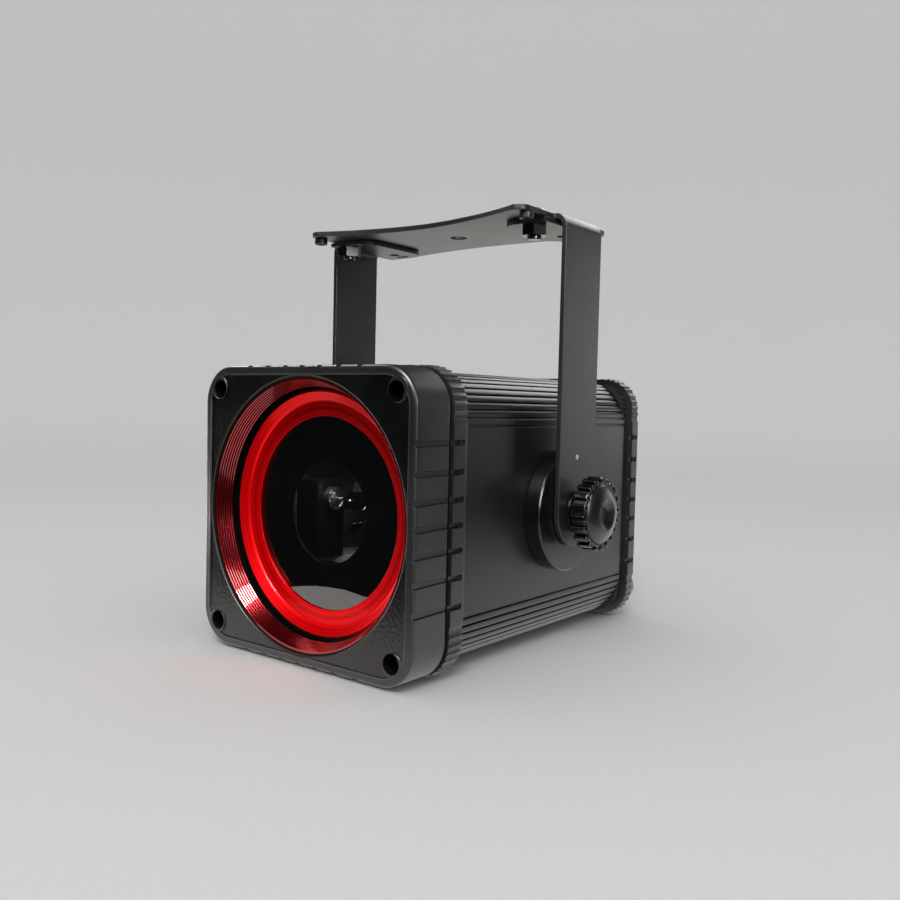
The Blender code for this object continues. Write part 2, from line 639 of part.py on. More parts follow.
def yoke_stations():
    """Cross lines of the bent strip, from the right arm's foot over the top to the left arm's foot.

    Each station is (outer point, inner point, reach forwards, reach back), with points in the x and rise plane."""
    arm = ARM_WIDTH / 2
    outer_bend = BEND_RADIUS + YOKE_THICKNESS
    corner_rise = yoke_reach - outer_bend
    stations = []
    for angle in (8, 20, 35, 50, 65, 78, 90):
        turn = math.radians(angle)
        rise = -arm * math.cos(turn)
        stations.append(((arm_outer, rise), (arm_inner, rise), arm * math.sin(turn), arm * math.sin(turn)))
    for step in range(6):
        turn = math.pi / 2 * step / 5
        outer = (plate_end_x + outer_bend * math.cos(turn), corner_rise + outer_bend * math.sin(turn))
        inner = (plate_end_x + BEND_RADIUS * math.cos(turn), corner_rise + BEND_RADIUS * math.sin(turn))
        stations.append((outer, inner, arm, arm))
    waist = PLATE_WAIST / 2
    ends = (PLATE_FRONT_REACH, PLATE_REAR_REACH)
    edge = plate_end_x - EDGE_BREAK
    flat = edge - PLATE_CORNER
    reaches = [(edge - PLATE_CORNER * share, [end - PLATE_CORNER * (1 - share) for end in ends])
               for share in (0.0, 0.3, 1.0)]
    for step in range(1, 8):
        x = flat * (1 - step / 8)
        reaches.append((x, [waist + (end - waist) * (x / flat) ** PLATE_TAPER for end in ends]))
    for x, (forwards, back) in reaches:
        stations.append(((x, yoke_reach), (x, plate_under), forwards, back))
    middle = [((0.0, yoke_reach), (0.0, plate_under), waist, waist)]
    mirrored = [((-outer[0], outer[1]), (-inner[0], inner[1]), forwards, back)
                for outer, inner, forwards, back in reversed(stations)]
    return stations + middle + mirrored


def yoke_bracket(look):
    rings = []
    for (outer_x, outer_rise), (inner_x, inner_rise), forwards, back in yoke_stations():
        rings.append([(outer_x, -forwards, outer_rise), (outer_x, back, outer_rise),
                      (inner_x, back, inner_rise), (inner_x, -forwards, inner_rise)])
    centre = place(0, pivot_depth, 0)
    bracket = loft("yoke_bracket", rings, look, centre)
    bore(bracket, "yoke_pivot_hole", STUD_RADIUS + CLEARANCE, 2 * arm_outer + YOKE_THICKNESS, centre, "X")
    over = centre + Vector((0, 0, plate_under))
    bore(bracket, "yoke_centre_hole", PLATE_HOLE_RADIUS, 4 * YOKE_THICKNESS, over, "Z", 24)
    for side in (-1, 1):
        bolt = over + Vector((side * bolt_x, -bolt_forward, 0))
        bore(bracket, f"yoke_bolt_hole_{side}", BOLT_RADIUS + CLEARANCE, 4 * YOKE_THICKNESS, bolt, "Z", 12)
    return bracket


def yoke_hardware(side, looks):
    word = "right" if side > 0 else "left"
    centre = place(0, pivot_depth, 0)
    middle_x = side * (plate_end_x - STIFFENER_LENGTH / 2)
    half_x = STIFFENER_LENGTH / 2
    half_y = STIFFENER_WIDTH / 2
    low = stiffener_top - STIFFENER_THICKNESS
    outline = []
    for angle in range(90, 271, 18):
        turn = math.radians(angle)
        inner_y = half_y - STIFFENER_CORNER if angle < 180 else STIFFENER_CORNER - half_y
        if angle == 180:
            outline.append((-half_x, half_y - STIFFENER_CORNER))
        outline.append((STIFFENER_CORNER - half_x + STIFFENER_CORNER * math.cos(turn),
                        inner_y + STIFFENER_CORNER * math.sin(turn)))
    outline += [(half_x, -half_y), (half_x, half_y)]
    outline = [(side * x + middle_x, y) for x, y in outline]
    stiffener = loft(f"stiffener_{word}", [along_height(outline, low), along_height(outline, stiffener_top)],
                     looks["satin"], centre)
    bolt = centre + Vector((side * bolt_x, -bolt_forward, 0))
    bore(stiffener, f"stiffener_bolt_hole_{word}", BOLT_RADIUS + CLEARANCE, 4 * YOKE_THICKNESS,
         bolt + Vector((0, 0, low)), "Z", 12)
    bore(stiffener, f"stiffener_round_hole_{word}", LIGHTENING_HOLE_RADIUS, 4 * YOKE_THICKNESS,
         centre + Vector((middle_x, half_y / 2, low)), "Z", 12)
    slot = box(f"stiffener_slot_{word}", (SLOT_LENGTH, SLOT_WIDTH, 4 * YOKE_THICKNESS), None,
               centre + Vector((middle_x, half_y * 0.78, low)))
    cut(stiffener, slot)
    head_low = yoke_reach + CLEARANCE
    nut_high = low - CLEARANCE
    nut_low = nut_high - NUT_HEIGHT
    tip = nut_low - BOLT_TIP
    head = [(0, tip), (BOLT_RADIUS, tip), (BOLT_RADIUS, head_low),
            (BOLT_HEAD_RADIUS, head_low), (BOLT_HEAD_RADIUS, head_low + BOLT_HEAD_HEIGHT / 2),
            (BOLT_HEAD_RADIUS * 0.55, head_low + BOLT_HEAD_HEIGHT), (0, head_low + BOLT_HEAD_HEIGHT)]
    turned(f"stiffener_bolt_{word}", head, 12, looks["steel"], bolt)
    nut = turned(f"stiffener_nut_{word}", disc_profile(NUT_RADIUS, nut_low, nut_high), 6, looks["steel"], bolt)
    bore(nut, f"nut_thread_{word}", BOLT_RADIUS + CLEARANCE, 2 * NUT_HEIGHT, bolt + Vector((0, 0, nut_low)), "Z", 12)
    spacer = centre + Vector((side * spacer_x, -spacer_forward, 0))
    top = plate_under - CLEARANCE
    bottom = top - SPACER_HEIGHT
    sleeve = [(0, top), (SPACER_RADIUS, top), (SPACER_RADIUS, bottom), (SPACER_BORE, bottom),
              (SPACER_BORE, bottom + SPACER_HEIGHT / 2), (0, bottom + SPACER_HEIGHT / 2)]
    turned(f"spacer_{word}", sleeve, 16, looks["satin"], spacer)


def star_ring(radius, depth, height):
    """A ribbed circle: three points for each rib."""
    points = []
    for rib in range(KNOB_RIBS):
        for share, inset in ((0.0, 0.0), (0.42, 0.0), (0.71, depth)):
            angle = 2 * math.pi * (rib + share) / KNOB_RIBS
            points.append(((radius - inset) * math.cos(angle), (radius - inset) * math.sin(angle), height))
    return points


def knob(side, looks):
    word = "right" if side > 0 else "left"
    outward = (0, math.pi / 2 * side, 0)
    where = place(0, pivot_depth, 0)
    hole = STUD_RADIUS + CLEARANCE
    turned(f"knob_washer_{word}", disc_profile(WASHER_RADIUS, arm_outer + CLEARANCE, washer_outer, hole), 24,
           looks["steel"], where, outward)
    tip = inner_half - STUD_BITE
    grip = knob_back + KNOB_HUB_LENGTH
    front = grip + KNOB_GRIP_LENGTH
    shoulder = KNOB_GRIP_RADIUS - EDGE_BREAK
    rings = [star_ring(shoulder, KNOB_RIB_DEPTH / 2, grip),
             star_ring(KNOB_GRIP_RADIUS, KNOB_RIB_DEPTH, grip + EDGE_BREAK),
             star_ring(KNOB_GRIP_RADIUS - EDGE_BREAK / 2, KNOB_RIB_DEPTH, front - EDGE_BREAK),
             star_ring(KNOB_GRIP_RADIUS * 0.93, KNOB_RIB_DEPTH / 3, front),
             star_ring(KNOB_GRIP_RADIUS * 0.84, 0, front),
             star_ring(KNOB_GRIP_RADIUS * 0.64, 0, front + KNOB_DOME * 0.7),
             star_ring(KNOB_GRIP_RADIUS * 0.43, 0, front + KNOB_DOME),
             star_ring(KNOB_GRIP_RADIUS * 0.22, 0, front + KNOB_DOME - KNOB_DISH)]
    grip_solid = loft(f"knob_{word}", rings, looks["gloss"], where, outward)
    inside = grip + KNOB_GRIP_LENGTH / 2
    stem = [(0, tip), (STUD_RADIUS, tip), (STUD_RADIUS, knob_back), (KNOB_HUB_RADIUS, knob_back),
            (KNOB_HUB_RADIUS, inside), (0, inside)]
    return cut(grip_solid, turned(f"knob_stem_{word}", stem, 16, None, where, outward), "UNION")


def scanner(looks):
    """The two steered mirrors, their motors and the block that holds them."""
    low_z = -LOW_AXIS_DROP
    tall = place(scanner_x, scanner_depth, TALL_AXIS_RISE)
    low = place(scanner_x, scanner_depth, low_z)
    tall_face = scanner_x - TALL_STANDOFF
    low_face = scanner_depth + LOW_STANDOFF
    left = tall_face - MOTOR_LENGTH / 2 - BLOCK_LENGTH / 2
    right = scanner_x + block_half
    front = scanner_depth - block_half
    back = low_face + MOTOR_LENGTH / 2 + BLOCK_LENGTH / 2
    block = box("scanner_block", (right - left, back - front, BLOCK_FOOT), looks["aluminium"],
                place((left + right) / 2, (front + back) / 2, foot_low + BLOCK_FOOT / 2))
    tall_top = TALL_AXIS_RISE + block_half
    tower = box("tall_tower", (BLOCK_LENGTH, 2 * block_half, tall_top - foot_low), None,
                place(left + BLOCK_LENGTH / 2, scanner_depth, (tall_top + foot_low) / 2))
    cut(block, tower, "UNION")
    low_top = low_z + block_half
    tower = box("low_tower", (2 * block_half, BLOCK_LENGTH, low_top - foot_low), None,
                place(scanner_x, back - BLOCK_LENGTH / 2, (low_top + foot_low) / 2))
    cut(block, tower, "UNION")
    bore(block, "tall_motor_bore", MOTOR_RADIUS + CLEARANCE, 2 * BLOCK_LENGTH,
         place(left + BLOCK_LENGTH / 2, scanner_depth, TALL_AXIS_RISE), "X")
    bore(block, "low_motor_bore", MOTOR_RADIUS + CLEARANCE, 2 * BLOCK_LENGTH,
         place(scanner_x, back - BLOCK_LENGTH / 2, low_z), "Y")
    motor = disc_profile(MOTOR_RADIUS, 0, MOTOR_LENGTH, 0, EDGE_BREAK)
    turned("scan_motor_tall", motor, 20, looks["steel"], place(tall_face, scanner_depth, TALL_AXIS_RISE),
           (0, -math.pi / 2, 0))
    turned("scan_motor_low", motor, 20, looks["steel"], place(scanner_x, low_face, low_z), (-math.pi / 2, 0, 0))
    tall_shaft = TALL_STANDOFF - CLEARANCE
    low_shaft = LOW_STANDOFF - CLEARANCE
    mirror = box("scan_mirror_tall", (TALL_MIRROR_LENGTH, TALL_MIRROR_WIDTH, MIRROR_THICKNESS), looks["mirror"], tall,
                 0, (math.radians(45), 0, 0))
    cut(mirror, turned("tall_shaft", disc_profile(SHAFT_RADIUS, TALL_MIRROR_LENGTH / 4, tall_shaft), 8, None, tall,
                       (0, -math.pi / 2, 0)), "UNION")
    mirror = box("scan_mirror_low", (LOW_MIRROR_WIDTH, LOW_MIRROR_LENGTH, MIRROR_THICKNESS), looks["mirror"], low, 0,
                 (0, math.radians(-45), 0))
    cut(mirror, turned("low_shaft", disc_profile(SHAFT_RADIUS, LOW_MIRROR_LENGTH / 4, low_shaft), 8, None, low,
                       (-math.pi / 2, 0, 0)), "UNION")


def light_source(looks):
    """Three diode modules side by side, with a small angled plate before each that joins its beam to the rest."""
    height = 2 * (-LOW_AXIS_DROP - foot_low)
    top = -LOW_AXIS_DROP + COMBINER_SIZE / 2
    for x, colour in zip(module_xs, ("red", "green", "blue")):
        box(f"laser_module_{colour}", (MODULE_WIDTH, MODULE_LENGTH, height), looks["aluminium"],
            place(x, module_start + MODULE_LENGTH / 2, foot_low + height / 2), EDGE_BREAK)
        box(f"beam_combiner_{colour}", (COMBINER_SIZE, COMBINER_THICKNESS, top - foot_low), looks["mirror"],
            place(x, scanner_depth, (top + foot_low) / 2), 0, (0, 0, math.radians(45)))


def inside(looks):
    width = 2 * (inner_half - CLEARANCE)
    box("optics_base", (width, base_end - base_start, BASE_THICKNESS), looks["aluminium"],
        place(0, (base_start + base_end) / 2, base_top - BASE_THICKNESS / 2))
    length = base_end - electronics_start - CLEARANCE
    for name, height, side in (("scanner_driver", DRIVER_HEIGHT, -1), ("power_supply", SUPPLY_HEIGHT, 1)):
        box(name, (electronics_width, length, height), looks["black"],
            place(side * (electronics_width + ELECTRONICS_GAP) / 2, electronics_start + length / 2,
                  foot_low + height / 2), EDGE_BREAK)


def rear_controls(looks):
    facing_back = (-math.pi / 2, 0, 0)
    box("display_window", (WINDOW_WIDTH, WINDOW_PANE, WINDOW_HEIGHT), looks["glass"],
        place(0, rear_face - WINDOW_PANE / 2, WINDOW_RISE))
    plate_inner = rear_face - REAR_PLATE
    for number, x in enumerate(button_places()):
        low = plate_inner - CLEARANCE - BUTTON_FLANGE
        top = rear_face + BUTTON_PROUD
        profile = [(0, low), (BUTTON_RADIUS + BUTTON_FLANGE, low),
                   (BUTTON_RADIUS + BUTTON_FLANGE, plate_inner - CLEARANCE), (BUTTON_RADIUS, plate_inner - CLEARANCE),
                   (BUTTON_RADIUS, top - BUTTON_PROUD / 4), (BUTTON_RADIUS - BUTTON_PROUD / 4, top), (0, top)]
        turned(f"menu_button_{number + 1}", profile, 12, looks["rubber"], place(x, 0, -BUTTON_DROP), facing_back)
    outer = rear_face + CLEARANCE + KEY_FLANGE
    plug = KEY_PLUG_RADIUS + CLEARANCE
    floor = outer - KEY_PLUG_DEPTH - CLEARANCE
    profile = [(0, plate_inner - REAR_PLATE), (KEY_BARREL_RADIUS, plate_inner - REAR_PLATE),
               (KEY_BARREL_RADIUS, rear_face + CLEARANCE), (KEY_FLANGE_RADIUS, rear_face + CLEARANCE),
               (KEY_FLANGE_RADIUS, outer - EDGE_BREAK), (KEY_FLANGE_RADIUS - EDGE_BREAK, outer), (plug, outer), (plug, floor),
               (0, floor)]
    turned("key_switch", profile, 20, looks["steel"], place(key_x, 0, CONTROL_RISE), facing_back)
    where = place(key_x, outer, CONTROL_RISE)
    key = turned("key", disc_profile(KEY_PLUG_RADIUS, -KEY_PLUG_DEPTH, 2 * KEY_RISER), 16, looks["steel"], where,
                 facing_back)
    bow = box("key_bow", (KEY_BOW_THICKNESS, KEY_BOW_LENGTH, KEY_BOW_WIDTH), None,
              where + Vector((0, KEY_RISER + KEY_BOW_LENGTH / 2, 0)), KEY_BOW_THICKNESS * 0.3)
    cut(key, bow, "UNION")
    for side, name in ((1, "power_gland"), (-1, "signal_gland")):
        gland(name, side, looks)
    eyelet(looks)


def gland(name, side, looks):
    """Cable gland: threaded spigot, hexagon and domed nut with a bore for the cable."""
    facing_back = (-math.pi / 2, 0, 0)
    where = place(side * gland_x, rear_face, gland_z)
    hex_low = CLEARANCE
    hex_high = hex_low + GLAND_HEX_LENGTH
    body = turned(name, disc_profile(GLAND_HEX_RADIUS, hex_low, hex_high), 6, looks["plastic"], where,
                  facing_back)
    end = hex_high + GLAND_DOME_LENGTH
    dome = [(0, -GLAND_SPIGOT), (GLAND_SPIGOT_RADIUS, -GLAND_SPIGOT), (GLAND_SPIGOT_RADIUS, hex_high / 2),
            (GLAND_DOME_RADIUS, hex_high / 2), (GLAND_DOME_RADIUS, end - GLAND_DOME_LENGTH * 0.4),
            (GLAND_DOME_RADIUS * 0.86, end - GLAND_DOME_LENGTH * 0.13), (GLAND_DOME_RADIUS * 0.66, end),
            (GLAND_BORE_RADIUS, end), (GLAND_BORE_RADIUS, end - GLAND_BORE_DEPTH), (0, end - GLAND_BORE_DEPTH)]
    cut(body, turned(name + "_dome", dome, 16, None, where, facing_back), "UNION")
    bore(body, name + "_bore", GLAND_BORE_RADIUS, 2 * GLAND_BORE_DEPTH, where + Vector((0, end, 0)), "Y")


def eyelet(looks):
    """Welded eye for a safety wire: a ring that stands on a foot screwed to the rear."""
    foot_front = rear_face + CLEARANCE
    foot = box("safety_eyelet", (EYELET_FOOT_WIDTH, EYELET_FOOT_THICKNESS, EYELET_FOOT_HEIGHT), looks["steel"],
               place(eyelet_x, foot_front + EYELET_FOOT_THICKNESS / 2, CONTROL_RISE))
    ring_depth = foot_front + EYELET_FOOT_THICKNESS + EYELET_HOLE_RADIUS
    centre = place(eyelet_x, ring_depth, CONTROL_RISE)
    ring = disc_profile(EYELET_RADIUS, -EYELET_THICKNESS / 2, EYELET_THICKNESS / 2)
    cut(foot, turned("eyelet_ring", ring, 20, None, centre, (0, math.pi / 2, 0)), "UNION")
    return bore(foot, "eyelet_hole", EYELET_HOLE_RADIUS, 2 * EYELET_THICKNESS, centre + Vector((0, CLEARANCE, 0)), "X")


def build():
    clear_scene()
    looks = {
        "cast": material("painted die-cast aluminium", (0.022, 0.024, 0.025), 0.46, 0.0),
        "satin": material("satin black painted steel", (0.022, 0.024, 0.025), 0.46, 0.0),
        "anodised": material("black anodised aluminium", (0.020, 0.022, 0.023), 0.42, 0.6),
        "gloss": material("gloss black plastic", (0.012, 0.012, 0.013), 0.22, 0.0),
        "plastic": material("satin black plastic", (0.016, 0.016, 0.017), 0.42, 0.0),
        "red": material("red anodised ring", (0.62, 0.010, 0.016), 0.28, 0.7),
        "glass": material("dark coated glass", (0.010, 0.012, 0.014), 0.05, 0.0),
        "black": material("matte black sheet", (0.008, 0.008, 0.009), 0.6, 0.0),
        "rubber": material("black rubber", (0.012, 0.012, 0.012), 0.75, 0.0),
        "steel": material("plated steel", (0.30, 0.30, 0.31), 0.32, 1.0),
        "aluminium": material("bare aluminium", (0.55, 0.56, 0.57), 0.35, 1.0),
        "mirror": material("coated mirror", (0.75, 0.77, 0.78), 0.06, 1.0),
    }
    front_cap(looks["cast"])
    front_collar(looks["cast"])
    gasket("front_gasket", cap_back + CLEARANCE, front_screws, looks["rubber"])
    extruded_housing(looks["anodised"])
    gasket("rear_gasket", extrusion_back + CLEARANCE, rear_screws, looks["rubber"])
    rear_cover(looks["cast"])
    front_optics(looks)
    all_screws(looks["steel"])
    yoke_bracket(looks["satin"])
    for side in (-1, 1):
        side_pivot(side, looks)
        yoke_hardware(side, looks)
        knob(side, looks)
    inside(looks)
    scanner(looks)
    light_source(looks)
    rear_controls(looks)


build()
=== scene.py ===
# Laser light projector: the looks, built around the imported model
import math

import bmesh
import bpy
from mathutils import Matrix, Vector


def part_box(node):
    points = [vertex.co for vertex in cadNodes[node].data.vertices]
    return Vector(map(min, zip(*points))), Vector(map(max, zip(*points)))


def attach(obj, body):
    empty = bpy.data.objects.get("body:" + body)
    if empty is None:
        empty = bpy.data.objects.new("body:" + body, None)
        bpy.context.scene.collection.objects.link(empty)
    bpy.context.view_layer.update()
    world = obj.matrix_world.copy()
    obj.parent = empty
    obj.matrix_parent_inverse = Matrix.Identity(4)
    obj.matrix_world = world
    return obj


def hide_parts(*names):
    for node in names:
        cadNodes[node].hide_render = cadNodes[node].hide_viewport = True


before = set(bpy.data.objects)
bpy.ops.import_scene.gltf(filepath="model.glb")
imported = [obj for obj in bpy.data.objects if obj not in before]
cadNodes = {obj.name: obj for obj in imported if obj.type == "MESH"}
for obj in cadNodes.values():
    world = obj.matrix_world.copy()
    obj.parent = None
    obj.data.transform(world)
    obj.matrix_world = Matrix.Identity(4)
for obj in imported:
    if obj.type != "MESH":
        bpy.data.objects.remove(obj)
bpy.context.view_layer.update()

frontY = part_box("front_cap")[0].y        # the front face
pivotLow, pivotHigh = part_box("pivot_disc_right")
pivotY = (pivotLow.y + pivotHigh.y) / 2  # the tilt axis
middleZ = (pivotLow.z + pivotHigh.z) / 2
pivotDepth = pivotY - frontY
mm = 0.001
xAxis = Vector((1, 0, 0))
yAxis = Vector((0, 1, 0))
zAxis = Vector((0, 0, 1))
origin = Vector((0, 0, 0))


# sizes in mm: side offset, depth behind the front face, rise from the middle of the housing
def at(x, depth, rise):
    return Vector((x * mm, frontY + depth * mm, middleZ + rise * mm))


# Camera, as the photograph was taken
camera = {"place": (0.3491, -0.4461, 0.1402), "yaw": 37.76, "pitch": -2.90, "roll": 1.34, "focalPixels": 898.9,
          "framePixels": 900, "sensor": 36.0}


def addCamera():
    yaw, pitch, roll = (math.radians(camera[key]) for key in ("yaw", "pitch", "roll"))
    forward = Vector((-math.sin(yaw) * math.cos(pitch), math.cos(yaw) * math.cos(pitch), math.sin(pitch)))
    right = Vector((math.cos(yaw), math.sin(yaw), 0))
    up = right.cross(forward)
    turnedRight = right * math.cos(roll) + up * math.sin(roll)
    turnedUp = up * math.cos(roll) - right * math.sin(roll)
    data = bpy.data.cameras.new("camera")
    data.sensor_width = camera["sensor"]
    data.lens = camera["sensor"] * camera["focalPixels"] / camera["framePixels"]
    data.clip_start = 0.01
    made = bpy.data.objects.new("camera", data)
    bpy.context.scene.collection.objects.link(made)
    turn = Matrix((turnedRight, turnedUp, -forward)).transposed().to_4x4()
    made.matrix_world = Matrix.Translation(camera["place"]) @ turn
    bpy.context.scene.camera = made


addCamera()
print("camera placed")


# Trees of nodes
# a new tree with its sockets, each (label, kind) or (label, kind, value); also gives what comes in and goes out
def newTree(name, kind, inputs, outputs):
    tree = bpy.data.node_groups.new(name, kind)
    for way, sockets in (("INPUT", inputs), ("OUTPUT", outputs)):
        for label, socketKind, *value in sockets:
            socket = tree.interface.new_socket(label, in_out=way, socket_type="NodeSocket" + socketKind)
            if value:
                socket.default_value = value[0]
    return tree, tree.nodes.new("NodeGroupInput").outputs, tree.nodes.new("NodeGroupOutput").inputs


# give a node its inputs, each a socket to link or a plain value; _ stands for a space, i6 for input number 6
def feed(tree, node, **links):
    for key, value in links.items():
        numbered = key[0] == "i" and key[1:].isdigit()
        socket = node.inputs[int(key[1:]) if numbered else key.replace("_", " ")]
        if isinstance(value, bpy.types.NodeSocket):
            tree.links.new(value, socket)
        else:
            socket.default_value = value
    return node


def addNode(tree, kind, settings=None, **links):
    node = tree.nodes.new(kind)
    for key, value in (settings or {}).items():
        setattr(node, key, value)
    return feed(tree, node, **links)


def maths(tree, operation, first, second=0.0, third=0.0):
    return addNode(tree, "ShaderNodeMath", {"operation": operation}, i0=first, i1=second, i2=third).outputs[0]


def vectorMaths(tree, operation, first, second=(0, 0, 0)):
    node = addNode(tree, "ShaderNodeVectorMath", {"operation": operation}, i0=first, i1=second)
    return node.outputs["Value"] if operation in ("LENGTH", "DOT_PRODUCT") else node.outputs["Vector"]


def spread(tree, value, fromLow, fromHigh, low=0.0, high=1.0):
    return addNode(tree, "ShaderNodeMapRange", {"interpolation_type": "SMOOTHSTEP"}, Value=value, From_Min=fromLow,
                   From_Max=fromHigh, To_Min=low, To_Max=high).outputs["Result"]


def noise(tree, vector, scale, detail=3.0, rough=0.55):
    return addNode(tree, "ShaderNodeTexNoise", {}, Vector=vector, Scale=scale, Detail=detail,
                   Roughness=rough).outputs["Fac"]


def objectPlace(tree):
    return addNode(tree, "ShaderNodeTexCoord").outputs["Object"]


# Shader groups: effects that several finishes share
def makeGrainGroup():
    tree, given, result = newTree("paintGrain", "ShaderNodeTree", [("Scale", "Float", 1500.0), ("Pits", "Float", 0.3)],
                                  [("Height", "Float"), ("Mottle", "Float")])
    place = objectPlace(tree)
    fine = noise(tree, place, given["Scale"], 2.0, 0.6)
    cells = addNode(tree, "ShaderNodeTexVoronoi", {"feature": "SMOOTH_F1"}, Vector=place,
                    Scale=maths(tree, "MULTIPLY", given["Scale"], 0.55)).outputs["Distance"]
    pitted = maths(tree, "MULTIPLY", cells, given["Pits"])
    tree.links.new(maths(tree, "ADD", fine, pitted), result["Height"])
    tree.links.new(noise(tree, place, 26.0, 5.0, 0.6), result["Mottle"])
    return tree


def makeDustGroup():
    tree, given, result = newTree("dust", "ShaderNodeTree", [("Specks", "Float", 0.5), ("Haze", "Float", 0.3)],
                                  [("Mask", "Float")])
    place = objectPlace(tree)
    cells = addNode(tree, "ShaderNodeTexVoronoi", {}, Vector=place, Scale=420.0)
    tone = addNode(tree, "ShaderNodeSeparateColor", {}, Color=cells.outputs["Color"]).outputs[0]
    chosen = spread(tree, tone, 0.90, 0.93)
    near = spread(tree, cells.outputs["Distance"], 0.03, 0.13, 1.0, 0.0)
    specks = maths(tree, "MULTIPLY", maths(tree, "MULTIPLY", chosen, near), given["Specks"])
    haze = maths(tree, "MULTIPLY", spread(tree, noise(tree, place, 12.0, 4.0), 0.35, 0.75), given["Haze"])
    tree.links.new(maths(tree, "MAXIMUM", specks, haze), result["Mask"])
    return tree


# fine rings round an axis, as a lathe leaves them
def makeRingGroup():
    tree, given, result = newTree("turnedRings", "ShaderNodeTree", [
        ("Centre", "Vector", (0, 0, 0)), ("Axis", "Vector", (0, 1, 0)), ("Pitch", "Float", 0.0003)],
        [("Height", "Float"), ("Streak", "Float")])
    fromCentre = vectorMaths(tree, "SUBTRACT", objectPlace(tree), given["Centre"])
    along = vectorMaths(tree, "PROJECT", fromCentre, given["Axis"])
    radius = vectorMaths(tree, "LENGTH", vectorMaths(tree, "SUBTRACT", fromCentre, along))
    walk = maths(tree, "DIVIDE", maths(tree, "ADD", radius, vectorMaths(tree, "LENGTH", along)), given["Pitch"])
    for name, scale, detail in (("Height", 1.0, 2.0), ("Streak", 0.12, 3.0)):
        line = addNode(tree, "ShaderNodeTexNoise", {"noise_dimensions": "1D"}, W=walk, Scale=scale, Detail=detail)
        tree.links.new(line.outputs["Fac"], result[name])
    return tree


# long faint lines, as a die leaves them on a drawn profile
def makeDrawGroup():
    tree, given, result = newTree("drawLines", "ShaderNodeTree", [("Stretch", "Vector", (900, 6, 900))],
                                  [("Height", "Float")])
    stretched = vectorMaths(tree, "MULTIPLY", objectPlace(tree), given["Stretch"])
    tree.links.new(noise(tree, stretched, 1.0, 3.0, 0.6), result["Height"])
    return tree


groups = {"grain": makeGrainGroup(), "dust": makeDustGroup(), "rings": makeRingGroup(),
          "lines": makeDrawGroup()}


def groupNode(tree, kind, **values):
    return addNode(tree, "ShaderNodeGroup", {"node_tree": groups[kind]}, **values)


